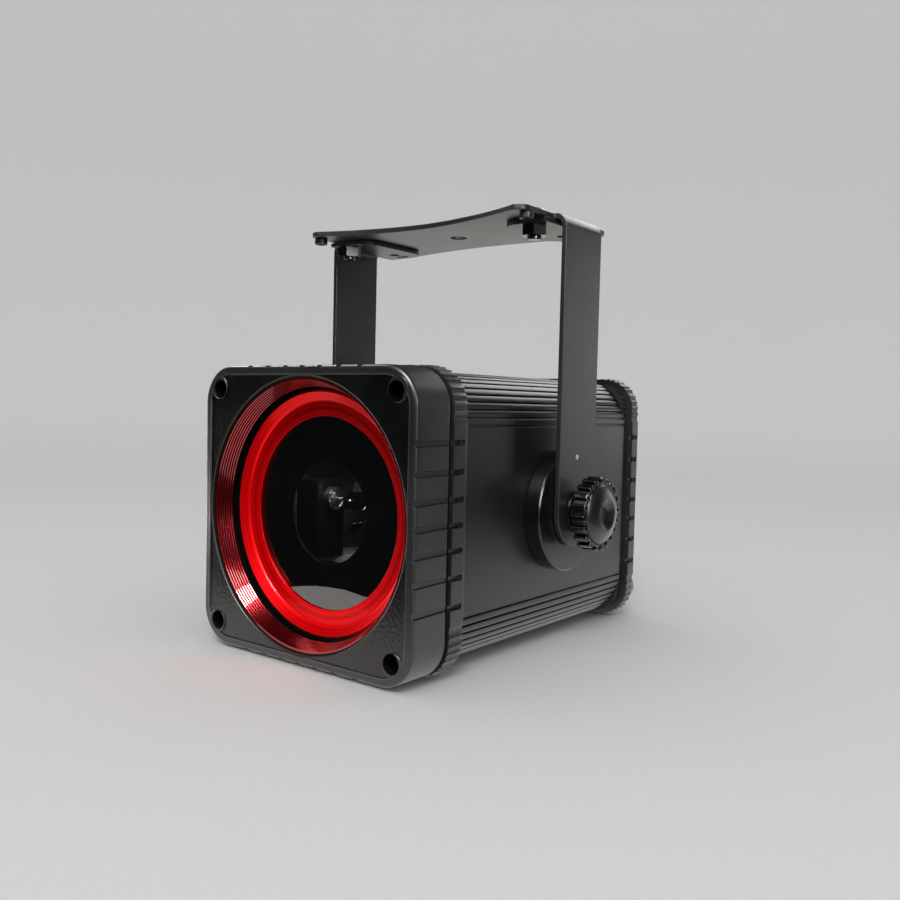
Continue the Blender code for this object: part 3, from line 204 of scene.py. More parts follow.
finishes = {
    "castPaint": {"colour": (0.0085, 0.0098, 0.0101), "rough": 0.40, "grain": (1500.0, 0.5), "bump": 0.00003,
                  "dust": (0.5, 0.05), "vary": 0.06},
    # painted shade: the face field is a much darker copy of the cast paint, standing in for the dark surroundings in
    # front; its coarser grain is real
    "faceGrainPaintedShade": {"colour": (0.0009, 0.0019, 0.0022), "rough": 0.28, "specular": 0.42, "grain": (900.0, 0.9),
                  "bump": 0.00010, "dust": (0.5, 0.04), "vary": 0.06},
    # painted reflection: the ribs are black gloss paint, and this red stands in for the red ring they mirror
    "ribsPaintedRedReflection": {"colour": (0.20, 0.006, 0.009), "rough": 0.20, "metal": 0.9, "coat": 0.7, "grain": (1600.0, 0.3),
                   "bump": 0.0, "vary": 0.04},
    # painted shade and reflection: the valleys behind the ribs, darker than the ribs and tinted by the red ring
    "ribValleyPaintedShade": {"colour": (0.050, 0.0035, 0.0045), "rough": 0.42, "metal": 0.6, "specular": 0.2,
                 "grain": (1600.0, 0.3), "bump": 0.0, "vary": 0.04},
    # painted shade: near black put in the bores, grooves, counterbores and recesses, and on dark parts inside, where
    # shade falls
    "paintedShadeBlack": {"colour": (0.0008, 0.0009, 0.0009), "rough": 0.55, "specular": 0.08, "grain": (1500.0, 0.3),
                  "bump": 0.00002, "vary": 0.06},
    # painted highlight: a lighter grey on rounded edges and the cap's border bead, standing in for the light they catch
    "paintedEdgeHighlight": {"colour": (0.060, 0.064, 0.066), "rough": 0.30, "metal": 0.4, "grain": (1700.0, 0.4), "bump": 0.00001,
                 "vary": 0.08},
    "anodised": {"colour": (0.0070, 0.0082, 0.0086), "rough": 0.31, "metal": 0.25, "lines": (1400, 5, 1400),
                 "bump": 0.00001, "dust": (0.6, 0.04), "vary": 0.03},
    "powderSteel": {"colour": (0.0105, 0.0118, 0.0122), "rough": 0.38, "grain": (1900.0, 0.6), "bump": 0.00004,
                    "dust": (0.5, 0.05), "vary": 0.04},
    "rubber": {"colour": (0.006, 0.006, 0.006), "rough": 0.75, "grain": (1200.0, 0.4), "bump": 0.00003, "vary": 0.08},
    # painted shade: a near-black, weakly reflecting finish on the inner walls, darker than the anodised outside,
    # standing in for shade inside the housing
    "innerWallPaintedShade": {"colour": (0.0010, 0.0011, 0.0012), "rough": 0.55, "specular": 0.12, "grain": (1500.0, 0.3),
                   "bump": 0.00002, "vary": 0.06},
    "blackZinc": {"colour": (0.085, 0.090, 0.095), "rough": 0.24, "metal": 1.0, "grain": (1800.0, 0.3),
                  "bump": 0.00001, "vary": 0.12},
    "gripPlastic": {"colour": (0.0022, 0.0025, 0.0027), "rough": 0.18, "grain": (1500.0, 0.3), "bump": 0.00001,
                    "vary": 0.03},
    "knobFace": {"colour": (0.0070, 0.0078, 0.0082), "rough": 0.34, "grain": (1700.0, 0.4), "bump": 0.00001,
                 "vary": 0.03},
    "satinPlastic": {"colour": (0.0055, 0.0060, 0.0063), "rough": 0.25, "grain": (1500.0, 0.4), "bump": 0.00001,
                     "dust": (0.5, 0.04), "vary": 0.05},
    "turnedBlack": {"colour": (0.0040, 0.0050, 0.0054), "rough": 0.24, "metal": 0.2, "grain": (1500.0, 0.3),
                    "bump": 0.00001, "dust": (0.5, 0.04), "vary": 0.04},
    "plainSteel": {"colour": (0.50, 0.50, 0.51), "rough": 0.27, "metal": 1.0, "grain": (900.0, 0.3),
                   "bump": 0.00001, "vary": 0.10},
    "bareMetal": {"colour": (0.52, 0.53, 0.54), "rough": 0.34, "metal": 1.0, "lines": (60, 900, 900),
                  "bump": 0.00001, "vary": 0.08},
    "blackBox": {"colour": (0.0022, 0.0023, 0.0025), "rough": 0.42, "specular": 0.25, "grain": (1100.0, 0.5),
                 "bump": 0.00003, "vary": 0.08},
    "mirrorCoat": {"colour": (0.82, 0.84, 0.86), "rough": 0.05, "metal": 1.0, "grain": (300.0, 0.1), "bump": 0.0,
                   "vary": 0.03},
}


def newMaterial(name):
    made = bpy.data.materials.new(name)
    made.use_nodes = True
    return made, made.node_tree, made.node_tree.nodes["Principled BSDF"]


def mixColour(tree, share, first, second):
    return addNode(tree, "ShaderNodeMix", {"data_type": "RGBA"}, i0=share, i6=first, i7=second).outputs[2]


def addBump(tree, shader, height, distance, strength):
    bump = addNode(tree, "ShaderNodeBump", {}, Height=height, Distance=distance, Strength=strength)
    feed(tree, shader, Normal=bump.outputs["Normal"])


# what the plain finishes share: lighter patches, the lines of a drawn profile and a little dust
wear = {"lighter": 1.35, "lift": 0.001, "patches": (0.3, 0.72), "lineRough": 0.10, "dustShare": 0.30,
        "dustRough": 0.15, "dustColour": (0.10, 0.10, 0.10, 1.0)}


def plainFinish(name, facts):
    made, tree, shader = newMaterial(name)
    base = (*facts["colour"], 1.0)
    lighter = tuple(min(1.0, part * wear["lighter"] + wear["lift"]) for part in facts["colour"]) + (1.0,)
    scale, pits = facts.get("grain", (1300.0, 0.3))
    grain = groupNode(tree, "grain", Scale=scale, Pits=pits)
    mottle = spread(tree, grain.outputs["Mottle"], *wear["patches"])
    colour = mixColour(tree, mottle, base, lighter)
    rough = maths(tree, "ADD", facts["rough"] - facts["vary"] / 2, maths(tree, "MULTIPLY", mottle, facts["vary"]))
    height = grain.outputs["Height"]
    if "lines" in facts:
        height = groupNode(tree, "lines", Stretch=facts["lines"]).outputs["Height"]
        rough = maths(tree, "ADD", rough, maths(tree, "MULTIPLY", height, wear["lineRough"]))
    if "dust" in facts:
        specks, haze = facts["dust"]
        dust = groupNode(tree, "dust", Specks=specks, Haze=haze).outputs["Mask"]
        colour = mixColour(tree, maths(tree, "MULTIPLY", dust, wear["dustShare"]), colour, wear["dustColour"])
        rough = maths(tree, "ADD", rough, maths(tree, "MULTIPLY", dust, wear["dustRough"]))
    feed(tree, shader, Base_Color=colour, Roughness=rough, Metallic=facts.get("metal", 0.0),
         Specular_IOR_Level=facts.get("specular", 0.5), Coat_Weight=facts.get("coat", 0.0))
    if facts["bump"]:
        addBump(tree, shader, height, facts["bump"], 1.0)
    return made


look = {name: plainFinish(name, facts) for name, facts in finishes.items()}

# glowFrom and the paintedGlow keys set the ring's painted light: an emission that is stronger on one side
redRing = {"deep": (0.46, 0.0006, 0.0016, 1.0), "bright": (0.72, 0.0014, 0.0040, 1.0), "rough": 0.32, "metal": 0.7,
           "specular": 0.12, "coat": 0.08, "pitch": 0.00035, "bump": 0.00001, "glowFrom": (-0.45, 0.0, -0.89),
           "paintedGlowLow": 0.03, "paintedGlowHigh": 0.42, "paintedGlowSpan": (-0.07, 0.075), "streakRough": 0.12, "patchRough": 0.10}


def ringFinish():
    made, tree, shader = newMaterial("redAnodisedPaintedGlow")
    rings = groupNode(tree, "rings", Centre=(0, 0, middleZ), Axis=(0, 1, 0), Pitch=redRing["pitch"])
    grain = groupNode(tree, "grain", Scale=1400.0, Pits=0.2)
    share = spread(tree, rings.outputs["Streak"], 0.35, 0.65)
    colour = mixColour(tree, share, redRing["deep"], redRing["bright"])
    streaks = maths(tree, "MULTIPLY", rings.outputs["Streak"], redRing["streakRough"])
    patches = maths(tree, "MULTIPLY", grain.outputs["Mottle"], redRing["patchRough"])
    # both vary round one half, so half of each comes off
    least = redRing["rough"] - (redRing["streakRough"] + redRing["patchRough"]) / 2
    rough = maths(tree, "ADD", maths(tree, "ADD", least, streaks), patches)
    # painted light: the ring glows, more strongly low down and to the left, standing in for the light it throws back
    # there
    fromMiddle = vectorMaths(tree, "SUBTRACT", objectPlace(tree), (0, 0, middleZ))
    towards = vectorMaths(tree, "DOT_PRODUCT", fromMiddle, redRing["glowFrom"])
    feed(tree, shader, Base_Color=colour, Roughness=rough, Metallic=redRing["metal"],
         Specular_IOR_Level=redRing["specular"], Coat_Weight=redRing["coat"], Emission_Color=colour,
         Emission_Strength=spread(tree, towards, *redRing["paintedGlowSpan"], redRing["paintedGlowLow"], redRing["paintedGlowHigh"]))
    addBump(tree, shader, rings.outputs["Height"], redRing["bump"], 0.8)
    return made


# a plain finish whose surface also shows the rings a lathe leaves
def latheFinish(name, source, centre, axis, pitch, bump):
    made = look[source].copy()
    made.name = name
    tree = made.node_tree
    rings = groupNode(tree, "rings", Centre=centre, Axis=axis, Pitch=pitch)
    addBump(tree, tree.nodes["Principled BSDF"], rings.outputs["Height"], bump, 0.7)
    return made


glass = {"colour": (0.66, 0.74, 0.74, 1.0), "bending": 1.85, "dust": 0.03, "smear": 0.008}


def glassFinish():
    made, tree, shader = newMaterial("coatedGlass")
    grain = groupNode(tree, "grain", Scale=600.0, Pits=0.1)
    dust = groupNode(tree, "dust", Specks=0.6, Haze=0.0)
    cloudy = maths(tree, "MULTIPLY", dust.outputs["Mask"], glass["dust"])
    smear = maths(tree, "MULTIPLY", spread(tree, grain.outputs["Mottle"], 0.45, 0.75), glass["smear"])
    feed(tree, shader, Base_Color=glass["colour"], Transmission_Weight=1.0, IOR=glass["bending"],
         Roughness=maths(tree, "ADD", cloudy, smear))
    return made


# the dark pane over the rear display: near black, with a faint grid of cells
pane = {"dark": (0.004, 0.006, 0.008, 1.0), "lit": (0.006, 0.011, 0.016, 1.0), "cells": 1250.0, "rough": 0.06,
        "specular": 0.16}


def paneFinish():
    made, tree, shader = newMaterial("displayPane")
    parts = addNode(tree, "ShaderNodeSeparateXYZ", {}, Vector=objectPlace(tree)).outputs
    across, up = (spread(tree, maths(tree, "FRACT", maths(tree, "MULTIPLY", parts[way], pane["cells"])), 0.10, 0.25)
                  for way in ("X", "Z"))
    dust = groupNode(tree, "dust", Specks=0.8, Haze=0.15).outputs["Mask"]
    feed(tree, shader, Specular_IOR_Level=pane["specular"],
         Base_Color=mixColour(tree, maths(tree, "MULTIPLY", across, up), pane["dark"], pane["lit"]),
         Roughness=maths(tree, "ADD", pane["rough"], maths(tree, "MULTIPLY", dust, 0.2)))
    return made


look["red"] = ringFinish()
look["glass"] = glassFinish()
look["pane"] = paneFinish()
look["turnedZinc"] = latheFinish("turnedZinc", "turnedBlack", (0, pivotY, middleZ), (1, 0, 0), 0.0002, 0.00001)
# the aperture mask's finish: the painted shade black with the rings a lathe leaves
look["turnedSheetPaintedShade"] = latheFinish("turnedSheetPaintedShade", "paintedShadeBlack", (0, 0, middleZ), (0, 1, 0), 0.0004, 0.00001)
print("finishes:", len(look), "materials,", len(groups), "shader groups")


# Mesh making
def newObject(name, mesh):
    made = bpy.data.objects.new(name, mesh)
    bpy.context.scene.collection.objects.link(made)
    return made


def meshFrom(bm, name, materials, angle=35.0):
    bmesh.ops.recalc_face_normals(bm, faces=bm.faces)
    mesh = bpy.data.meshes.new(name)
    bm.to_mesh(mesh)
    bm.free()
    for item in materials:
        mesh.materials.append(item)
    mesh.shade_smooth()
    mesh.set_sharp_from_angle(angle=math.radians(angle))
    return newObject(name, mesh)


# the object's mesh with its modifiers worked in, and none left on it
def bake(obj):
    bpy.context.view_layer.update()
    graph = bpy.context.evaluated_depsgraph_get()
    mesh = bpy.data.meshes.new_from_object(obj.evaluated_get(graph), preserve_all_data_layers=True, depsgraph=graph)
    obj.modifiers.clear()
    old = obj.data
    obj.data = mesh
    bpy.data.meshes.remove(old)
    return obj


def remove(*objects):
    for obj in objects:
        mesh = obj.data
        bpy.data.objects.remove(obj)
        bpy.data.meshes.remove(mesh)


def combine(target, tool, operation="DIFFERENCE"):
    step = target.modifiers.new("step", "BOOLEAN")
    step.operation = operation
    step.solver = "EXACT"
    step.material_mode = "TRANSFER"
    step.object = tool
    bake(target)
    remove(tool)
    return target


# round the edges if asked, even out the shading, and hand the piece to its CAD body
def settle(obj, body, stands=(), bevel=None, angle=35.0):
    if bevel:
        step = obj.modifiers.new("edges", "BEVEL")
        step.width = bevel
        step.segments = 2
        step.limit_method = "ANGLE"
        step.angle_limit = math.radians(40)
        step.miter_outer = "MITER_ARC"
        bake(obj)
    obj.data.shade_smooth()
    obj.data.set_sharp_from_angle(angle=math.radians(angle))
    step = obj.modifiers.new("shading", "WEIGHTED_NORMAL")
    step.keep_sharp = True
    bake(obj)
    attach(obj, body)
    if stands:
        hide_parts(*stands)
    return obj


# a bmesh through rings of points; marks gives each band's material index
def loft(rings, marks=None):
    bm = bmesh.new()
    marks = marks or [0] * (len(rings) - 1)
    loops = [[bm.verts.new(point) for point in ring] for ring in rings]
    for mark, lower, upper in zip(marks, loops, loops[1:]):
        for index, corner in enumerate(lower):
            after = (index + 1) % len(lower)
            bm.faces.new((corner, lower[after], upper[after], upper[index])).material_index = mark
    bm.faces.new(list(reversed(loops[0]))).material_index = marks[0]
    bm.faces.new(loops[-1]).material_index = marks[-1]
    return bm


# round the corners of a closed profile. A point may carry its own radius as a third number
def eased(points, radius, steps=4):
    result = []
    for index, point in enumerate(points):
        here = Vector(point[:2])
        size = point[2] if len(point) > 2 else radius
        back = Vector(points[index - 1][:2]) - here
        ahead = Vector(points[(index + 1) % len(points)][:2]) - here
        room = min(back.length, ahead.length)
        if size <= 0 or here.x < 1e-6 or room < 1e-7:
            result.append(tuple(here))
            continue
        back.normalize()
        ahead.normalize()
        half = math.acos(max(-1, min(1, back.dot(ahead)))) / 2
        if half > math.radians(86):
            result.append(tuple(here))
            continue
        reach = min(size / math.tan(half), room * 0.45)
        arcRadius = reach * math.tan(half)
        centre = here + (back + ahead).normalized() * (arcRadius / math.sin(half))
        first = here + back * reach - centre
        last = here + ahead * reach - centre
        sweep = math.atan2(first.x * last.y - first.y * last.x, first.dot(last))
        for step in range(steps + 1):
            turn = sweep * step / steps
            result.append((centre.x + first.x * math.cos(turn) - first.y * math.sin(turn),
                           centre.y + first.x * math.sin(turn) + first.y * math.cos(turn)))
    return result


# turn a closed profile of (radius, height) in mm about an axis through centre
def spin(profile, centre, axis, segments, bm=None):
    bm = bm or bmesh.new()
    side = Vector((0, 0, 1)) if abs(axis.z) < 0.5 else Vector((1, 0, 0))
    across = axis.cross(side)
    loops = []
    for radius, height in profile:
        if radius < 1e-6:
            loops.append([bm.verts.new(centre + axis * height * mm)])
            continue
        ring = []
        for step in range(segments):
            turn = 2 * math.pi * step / segments
            spoke = side * math.cos(turn) + across * math.sin(turn)
            ring.append(bm.verts.new(centre + axis * height * mm + spoke * radius * mm))
        loops.append(ring)
    for index, lower in enumerate(loops):
        upper = loops[(index + 1) % len(loops)]
        for step in range(segments):
            after = (step + 1) % segments
            if len(lower) == 1 and len(upper) == 1:
                continue
            if len(lower) == 1:
                bm.faces.new((lower[0], upper[after], upper[step]))
            elif len(upper) == 1:
                bm.faces.new((lower[step], lower[after], upper[0]))
            else:
                bm.faces.new((lower[step], lower[after], upper[after], upper[step]))
    return bm


def turnedPiece(name, profile, centre, axis, finish, segments, radius=0.3, steps=4):
    return meshFrom(spin(eased(profile, radius, steps), centre, axis, segments), name, [finish])


def discProfile(radius, low, high, bore=0.0):
    return [(bore, low), (radius, low), (radius, high), (bore, high)]


# a flat sheet with rounded edges in the XY plane, from outlines in metres, as a bmesh
def plate(outline, holes, thickness, edge):
    curve = bpy.data.curves.new("sheet", "CURVE")
    curve.dimensions = "2D"
    curve.fill_mode = "BOTH"
    curve.extrude = thickness / 2 - edge
    curve.bevel_depth = edge
    curve.bevel_resolution = 2
    curve.offset = -edge
    for points in [outline] + list(holes):
        line = curve.splines.new("POLY")
        line.points.add(len(points) - 1)
        for slotPoint, point in zip(line.points, points):
            slotPoint.co = (point[0], point[1], 0, 1)
        line.use_cyclic_u = True
    holder = newObject("sheet", curve)
    bpy.context.view_layer.update()
    mesh = bpy.data.meshes.new_from_object(holder.evaluated_get(bpy.context.evaluated_depsgraph_get()))
    bm = bmesh.new()
    bm.from_mesh(mesh)
    bmesh.ops.remove_doubles(bm, verts=bm.verts, dist=2e-6)
    bm.normal_update()
    for face in bm.faces:
        # material 1, on the rounded edge faces, is the painted edge highlight
        face.material_index = 1 if 0.5 < abs(face.normal.z) < 0.95 else 0
    bpy.data.objects.remove(holder)
    bpy.data.curves.remove(curve)
    bpy.data.meshes.remove(mesh)
    return bm


# equal steps from nothing to a quarter of a turn
def quarterTurns(steps):
    return [math.pi / 2 * step / steps for step in range(steps + 1)]


def circle(x, y, radius, steps=40):
    return [(x + radius * math.cos(2 * math.pi * i / steps), y + radius * math.sin(2 * math.pi * i / steps))
            for i in range(steps)]


# the CAD node's own shape with its edges rounded
def softened(nodeName, name, finish, body, bevel):
    bm = bmesh.new()
    bm.from_mesh(cadNodes[nodeName].data)
    bmesh.ops.remove_doubles(bm, verts=bm.verts, dist=1e-6)
    bmesh.ops.dissolve_limit(bm, angle_limit=math.radians(1.0), verts=bm.verts, edges=bm.edges)
    obj = meshFrom(bm, name, [finish])
    return settle(obj, body, [nodeName], bevel)


# Geometry Nodes trees for what repeats
def geometryTree(name, inputs):
    sockets = [("Geometry", "Geometry")] + inputs + [("Material", "Material")]
    return newTree(name, "GeometryNodeTree", sockets, [("Geometry", "Geometry")])


def endTree(tree, given, result, instances):
    real = addNode(tree, "GeometryNodeRealizeInstances", {}, Geometry=instances).outputs["Geometry"]
    painted = addNode(tree, "GeometryNodeSetMaterial", {}, Geometry=real, Material=given["Material"])
    tree.links.new(painted.outputs["Geometry"], result["Geometry"])
    return tree


# copies of the piece turned round an axis through the centre
def makeCircleTree():
    tree, given, result = geometryTree("copiesRoundAxis", [
        ("Count", "Int", 12), ("Centre", "Vector", (0, 0, 0)), ("Axis", "Vector", (0, 0, 1)),
        ("First Turn", "Float", 0.0)])
    centred = addNode(tree, "GeometryNodeTransform", {}, Geometry=given["Geometry"],
                      Translation=vectorMaths(tree, "MULTIPLY", given["Centre"], (-1, -1, -1)))
    points = addNode(tree, "GeometryNodePoints", {}, Count=given["Count"], Position=given["Centre"])
    index = addNode(tree, "GeometryNodeInputIndex").outputs["Index"]
    step = maths(tree, "DIVIDE", 2 * math.pi, given["Count"])
    angle = maths(tree, "MULTIPLY_ADD", index, step, given["First Turn"])
    turn = addNode(tree, "FunctionNodeAxisAngleToRotation", {}, Axis=given["Axis"], Angle=angle)
    copies = addNode(tree, "GeometryNodeInstanceOnPoints", {}, Points=points.outputs["Points"],
                     Instance=centred.outputs["Geometry"], Rotation=turn.outputs["Rotation"])
    return endTree(tree, given, result, copies.outputs["Instances"])


# four copies of the piece at the corners of a rectangle that stands across the depth
def makeGridTree():
    tree, given, result = geometryTree("copiesAtCorners", [
        ("Width", "Float", 0.1), ("Height", "Float", 0.1), ("Centre", "Vector", (0, 0, 0))])
    grid = addNode(tree, "GeometryNodeMeshGrid", {}, Size_X=given["Width"], Size_Y=given["Height"], Vertices_X=2,
                   Vertices_Y=2)
    upright = addNode(tree, "GeometryNodeTransform", {}, Geometry=grid.outputs["Mesh"], Translation=given["Centre"],
                      Rotation=(math.pi / 2, 0, 0))
    copies = addNode(tree, "GeometryNodeInstanceOnPoints", {}, Points=upright.outputs["Geometry"],
                     Instance=given["Geometry"])
    return endTree(tree, given, result, copies.outputs["Instances"])


# copies of the piece in a row, each a little larger or smaller than the one before
def makeRowTree():
    tree, given, result = geometryTree("copiesInRow", [
        ("Count", "Int", 6), ("Step", "Vector", (0, 0, 0)), ("Growth", "Vector", (0, 0, 0))])
    row = addNode(tree, "GeometryNodeMeshLine", {"mode": "OFFSET"}, Count=given["Count"], Offset=given["Step"])
    index = addNode(tree, "GeometryNodeInputIndex").outputs["Index"]
    grown = addNode(tree, "ShaderNodeVectorMath", {"operation": "SCALE"}, i0=given["Growth"], Scale=index)
    size = vectorMaths(tree, "ADD", grown.outputs["Vector"], (1, 1, 1))
    copies = addNode(tree, "GeometryNodeInstanceOnPoints", {}, Points=row.outputs["Mesh"],
                     Instance=given["Geometry"], Scale=size)
    return endTree(tree, given, result, copies.outputs["Instances"])


# a flat outline pushed along its length into a closed bar
def makeSweepTree():
    tree, given, result = geometryTree("pushedProfile", [("Length", "Float", 0.1)])
    offset = addNode(tree, "ShaderNodeCombineXYZ", {}, Y=given["Length"])
    pushed = addNode(tree, "GeometryNodeExtrudeMesh", {"mode": "FACES"}, Mesh=given["Geometry"],
                     Offset=offset.outputs["Vector"], Offset_Scale=1.0, Individual=False)
    flipped = addNode(tree, "GeometryNodeFlipFaces", {}, Mesh=given["Geometry"])
    both = tree.nodes.new("GeometryNodeJoinGeometry")
    for part in (pushed, flipped):
        tree.links.new(part.outputs["Mesh"], both.inputs[0])
    merged = addNode(tree, "GeometryNodeMergeByDistance", {}, Geometry=both.outputs["Geometry"], Distance=1e-6)
    return endTree(tree, given, result, merged.outputs["Geometry"])


trees = {"round": makeCircleTree(), "corners": makeGridTree(), "row": makeRowTree(), "sweep": makeSweepTree()}


# work a tree into the object and leave a plain mesh
def repeat(obj, kind, material, **values):
    tree = trees[kind]
    step = obj.modifiers.new("tree", "NODES")
    step.node_group = tree
    names = {item.name: item.identifier for item in tree.interface.items_tree if item.in_out == "INPUT"}
    for key, value in values.items():
        step[names[key.replace("_", " ")]] = value
    step[names["Material"]] = material
    obj.update_tag()
    return bake(obj)


print("trees:", ", ".join(trees))


# Outlines of the square castings
# a groove with a flat floor and soft walls, across the right-hand side
def notchPoints(half, middle, width, depth):
    wall = 0.5
    points = []
    for sign in (1, -1):
        shares = (0, 0.2, 0.4, 0.6, 0.8, 1) if sign > 0 else (1, 0.8, 0.6, 0.4, 0.2, 0)
        for share in shares:
            dip = depth * share * share * (3 - 2 * share)
            points.append((half - dip, middle - sign * (width / 2 + wall * (0.5 - share))))
    return points


def squareOutline(half, corner, notches, flutes=(), fluteDepth=0.0, cornerSteps=20):
    side = []
    for middle, width, depth in notches:
        side += notchPoints(half, middle, width, depth)
    if flutes:
        stops = []
        for low, high in zip(flutes, flutes[1:]):
            for step in range(8):
                share = step / 8
                stops.append((low + (high - low) * share, fluteDepth * math.sin(math.pi * share) ** 0.8))
        stops.append((flutes[-1], 0.0))
    else:
        stops = [(2 * step / cornerSteps - 1, 0.0) for step in range(cornerSteps + 1)]
    for share, dip in stops:
        bounded = max(-1.0, min(1.0, share))
        angle = math.pi / 4 * (1 + bounded)
        beyond = (share - bounded) * math.pi / 4 * corner
        side.append((half - corner + (corner - dip) * math.cos(angle) - beyond * math.sin(angle),
                     half - corner + (corner - dip) * math.sin(angle) + beyond * math.cos(angle)))
    points = []
    for _ in range(4):
        points += side
        side = [(-z, x) for x, z in side]
    return points


# a rectangle, wider than high, with rounded corners
def boxOutline(halfX, halfZ, corner):
    return [(x + math.copysign(halfX - halfZ, x), z) for x, z in squareOutline(halfZ, corner, [], cornerSteps=8)]


def ringAt(outline, depth):
    return [at(x, depth, z) for x, z in outline]


flange = {"half": 80.0, "corner": 21.0, "notchShares": (-0.2575, -0.166, -0.08, 0.0, 0.08, 0.166, 0.2575),
          "flutes": (-1.50, -1.15, -0.87, -0.64, -0.39, -0.09, 0.09, 0.39, 0.64, 0.87, 1.15, 1.50),
          "fluteDepth": 0.8, "slotWidth": 2.6, "slotDepth": 2.2, "slotEnd": 2.2, "opening": 62.0, "openingCorner": 12.0}
cap = {"half": 79.0, "length": 27.0, "corner": 21.0, "frontEdge": 2.2, "backEdge": 2.2, "notchFront": 3.3,
       "notchBack": 2.1, "notchDepth": 1.15, "lipFrom": 4.0, "lipTo": 5.2, "recess": 0.8, "edgeSteps": 7}
mouth = {"radius": 73.5, "flare": 0.8, "lipSteps": 6, "seat": 66.7, "shelfDepth": 24.5, "shelfRadius": 50.0,
         "grooveRadius": 69.6, "grooveBack": 14.6, "segments": 240, "ribs": 7, "ribStart": 71.3, "ribStartDepth": 2.5,
         "ribEnd": 68.3, "ribEndDepth": 10.8, "ribHeight": 0.95, "land": 0.22, "landSlope": 0.70, "ribFoot": 0.3,
         "ribRoot": 0.2, "closeness": 0.97, "ribShift": 0.15}
corners = {"offset": 65.93, "radius": 5.0, "sink": 12.0, "rimRadius": 6.6, "rimShift": 1.0, "rimTop": 0.0,
           "holeRadius": 2.5}
alongDepth = yAxis


def cornerCopies(obj, material, depth=0.0):
    width = 2 * corners["offset"] * mm
    return repeat(obj, "corners", material, Width=width, Height=width, Centre=at(0, depth, 0))


def capBody():
    half, corner, length = cap["half"], cap["corner"], cap["length"]
    middles = [share * 2 * flange["half"] for share in flange["notchShares"]]

    def outline(inset, depth):
        width = cap["notchFront"] + (cap["notchBack"] - cap["notchFront"]) * max(0, depth) / length
        dip = max(0.0, cap["notchDepth"] - inset)
        return squareOutline(half - inset, corner - inset, [(middle, width, dip) for middle in middles])

    rings = []
    for turn in quarterTurns(cap["edgeSteps"]):
        drop = cap["backEdge"] * (1 - math.sin(turn))
        depth = length - cap["backEdge"] * (1 - math.cos(turn))
        rings.append((outline(drop, depth), depth, 0))
    for share in (0.75, 0.5, 0.25):
        rings.append((outline(0, length * share), length * share, 0))
    for turn in quarterTurns(cap["edgeSteps"]):
        drop = cap["frontEdge"] * (1 - math.cos(turn))
        depth = 0.2 + (cap["frontEdge"] - 0.2) * (1 - math.sin(turn))
        rings.append((outline(drop, depth), depth, 0))
    # the raised border and the step down to the face: inset, depth and material. Material 4, on the border's crest, is
    # a painted highlight; material 1, the face field, carries painted shade
    border, floorFrom, face = cap["lipFrom"], cap["lipTo"], cap["recess"]
    stations = [(border, 0.2, 0), (border + 0.2, 0.08, 0), (border + 0.45, 0.0, 4), (border + 0.7, 0.06, 4),
                (border + 0.85, 0.25, 0), (floorFrom - 0.2, face - 0.15, 0), (floorFrom, face, 0),
                (floorFrom + 0.4, face, 1)]
    rings += [(outline(inset, 0), depth, mark) for inset, depth, mark in stations]
    bm = loft([ringAt(points, depth) for points, depth, _ in rings], [mark for _, _, mark in rings[1:]])
    names = ("castPaint", "faceGrainPaintedShade", "ribsPaintedRedReflection", "paintedShadeBlack", "paintedEdgeHighlight")
    return meshFrom(bm, "frontCap", [look[name] for name in names])


# raised rims round the corner holes
def addRims(body):
    top = corners["rimTop"]
    profile = [(0, 3.0), (corners["rimRadius"], 3.0, 0), (corners["rimRadius"], top, 0.6), (0, top)]
    rim = turnedPiece("rim", profile, origin, alongDepth, look["castPaint"], 64)
    joined = bmesh.new()
    for sx in (-1, 1):
        for sz in (-1, 1):
            spot = rim.data.copy()
            shift = Vector((sx, 0, sz)) * corners["rimShift"] * mm
            spot.transform(Matrix.Translation(at(sx * corners["offset"], 0, sz * corners["offset"]) + shift))
            joined.from_mesh(spot)
            bpy.data.meshes.remove(spot)
    remove(rim)
    combine(body, meshFrom(joined, "rims", [look["castPaint"]]), "UNION")


# the opening for the ribs, with a small quarter round at its lip
def cutMouth(body):
    pitch = (mouth["ribEndDepth"] - mouth["ribStartDepth"]) / (mouth["ribs"] - 1)
    valley, flare, face = mouth["ribHeight"], mouth["flare"], cap["recess"]
    lip = [(mouth["radius"] + flare * (1 - math.sin(turn)), face + flare * (1 - math.cos(turn)), 0)
           for turn in quarterTurns(mouth["lipSteps"])]
    profile = [(0, -4), (mouth["radius"] + 3.2, -4), (mouth["radius"] + flare + 0.1, face - 0.1, 0)] + lip + [
               (mouth["radius"] - 0.15, face + flare + 0.2), (mouth["ribStart"] + valley, mouth["ribStartDepth"]),
               (mouth["ribEnd"] + valley, mouth["ribEndDepth"] - pitch * 0.3),
               (mouth["ribEnd"] + valley, mouth["ribEndDepth"] + 0.4), (0, mouth["ribEndDepth"] + 0.4)]
    bm = spin(eased(profile, 0.12, 2), at(0, 0, 0), alongDepth, mouth["segments"])
    lipEnd, ribsFrom = at(0, face + flare, 0).y, at(0, mouth["ribStartDepth"], 0).y
    # material 0, the band between the lip and the ribs, is painted shade; material 2, behind the ribs, is the painted
    # shade and red reflection of the rib valleys
    for part in bm.faces:
        depth = part.calc_center_median().y
        part.material_index = 1 if depth < lipEnd else 2 if depth > ribsFrom else 0
    combine(body, meshFrom(bm, "mouthTool", [look["paintedShadeBlack"], look["castPaint"], look["ribValleyPaintedShade"]]))


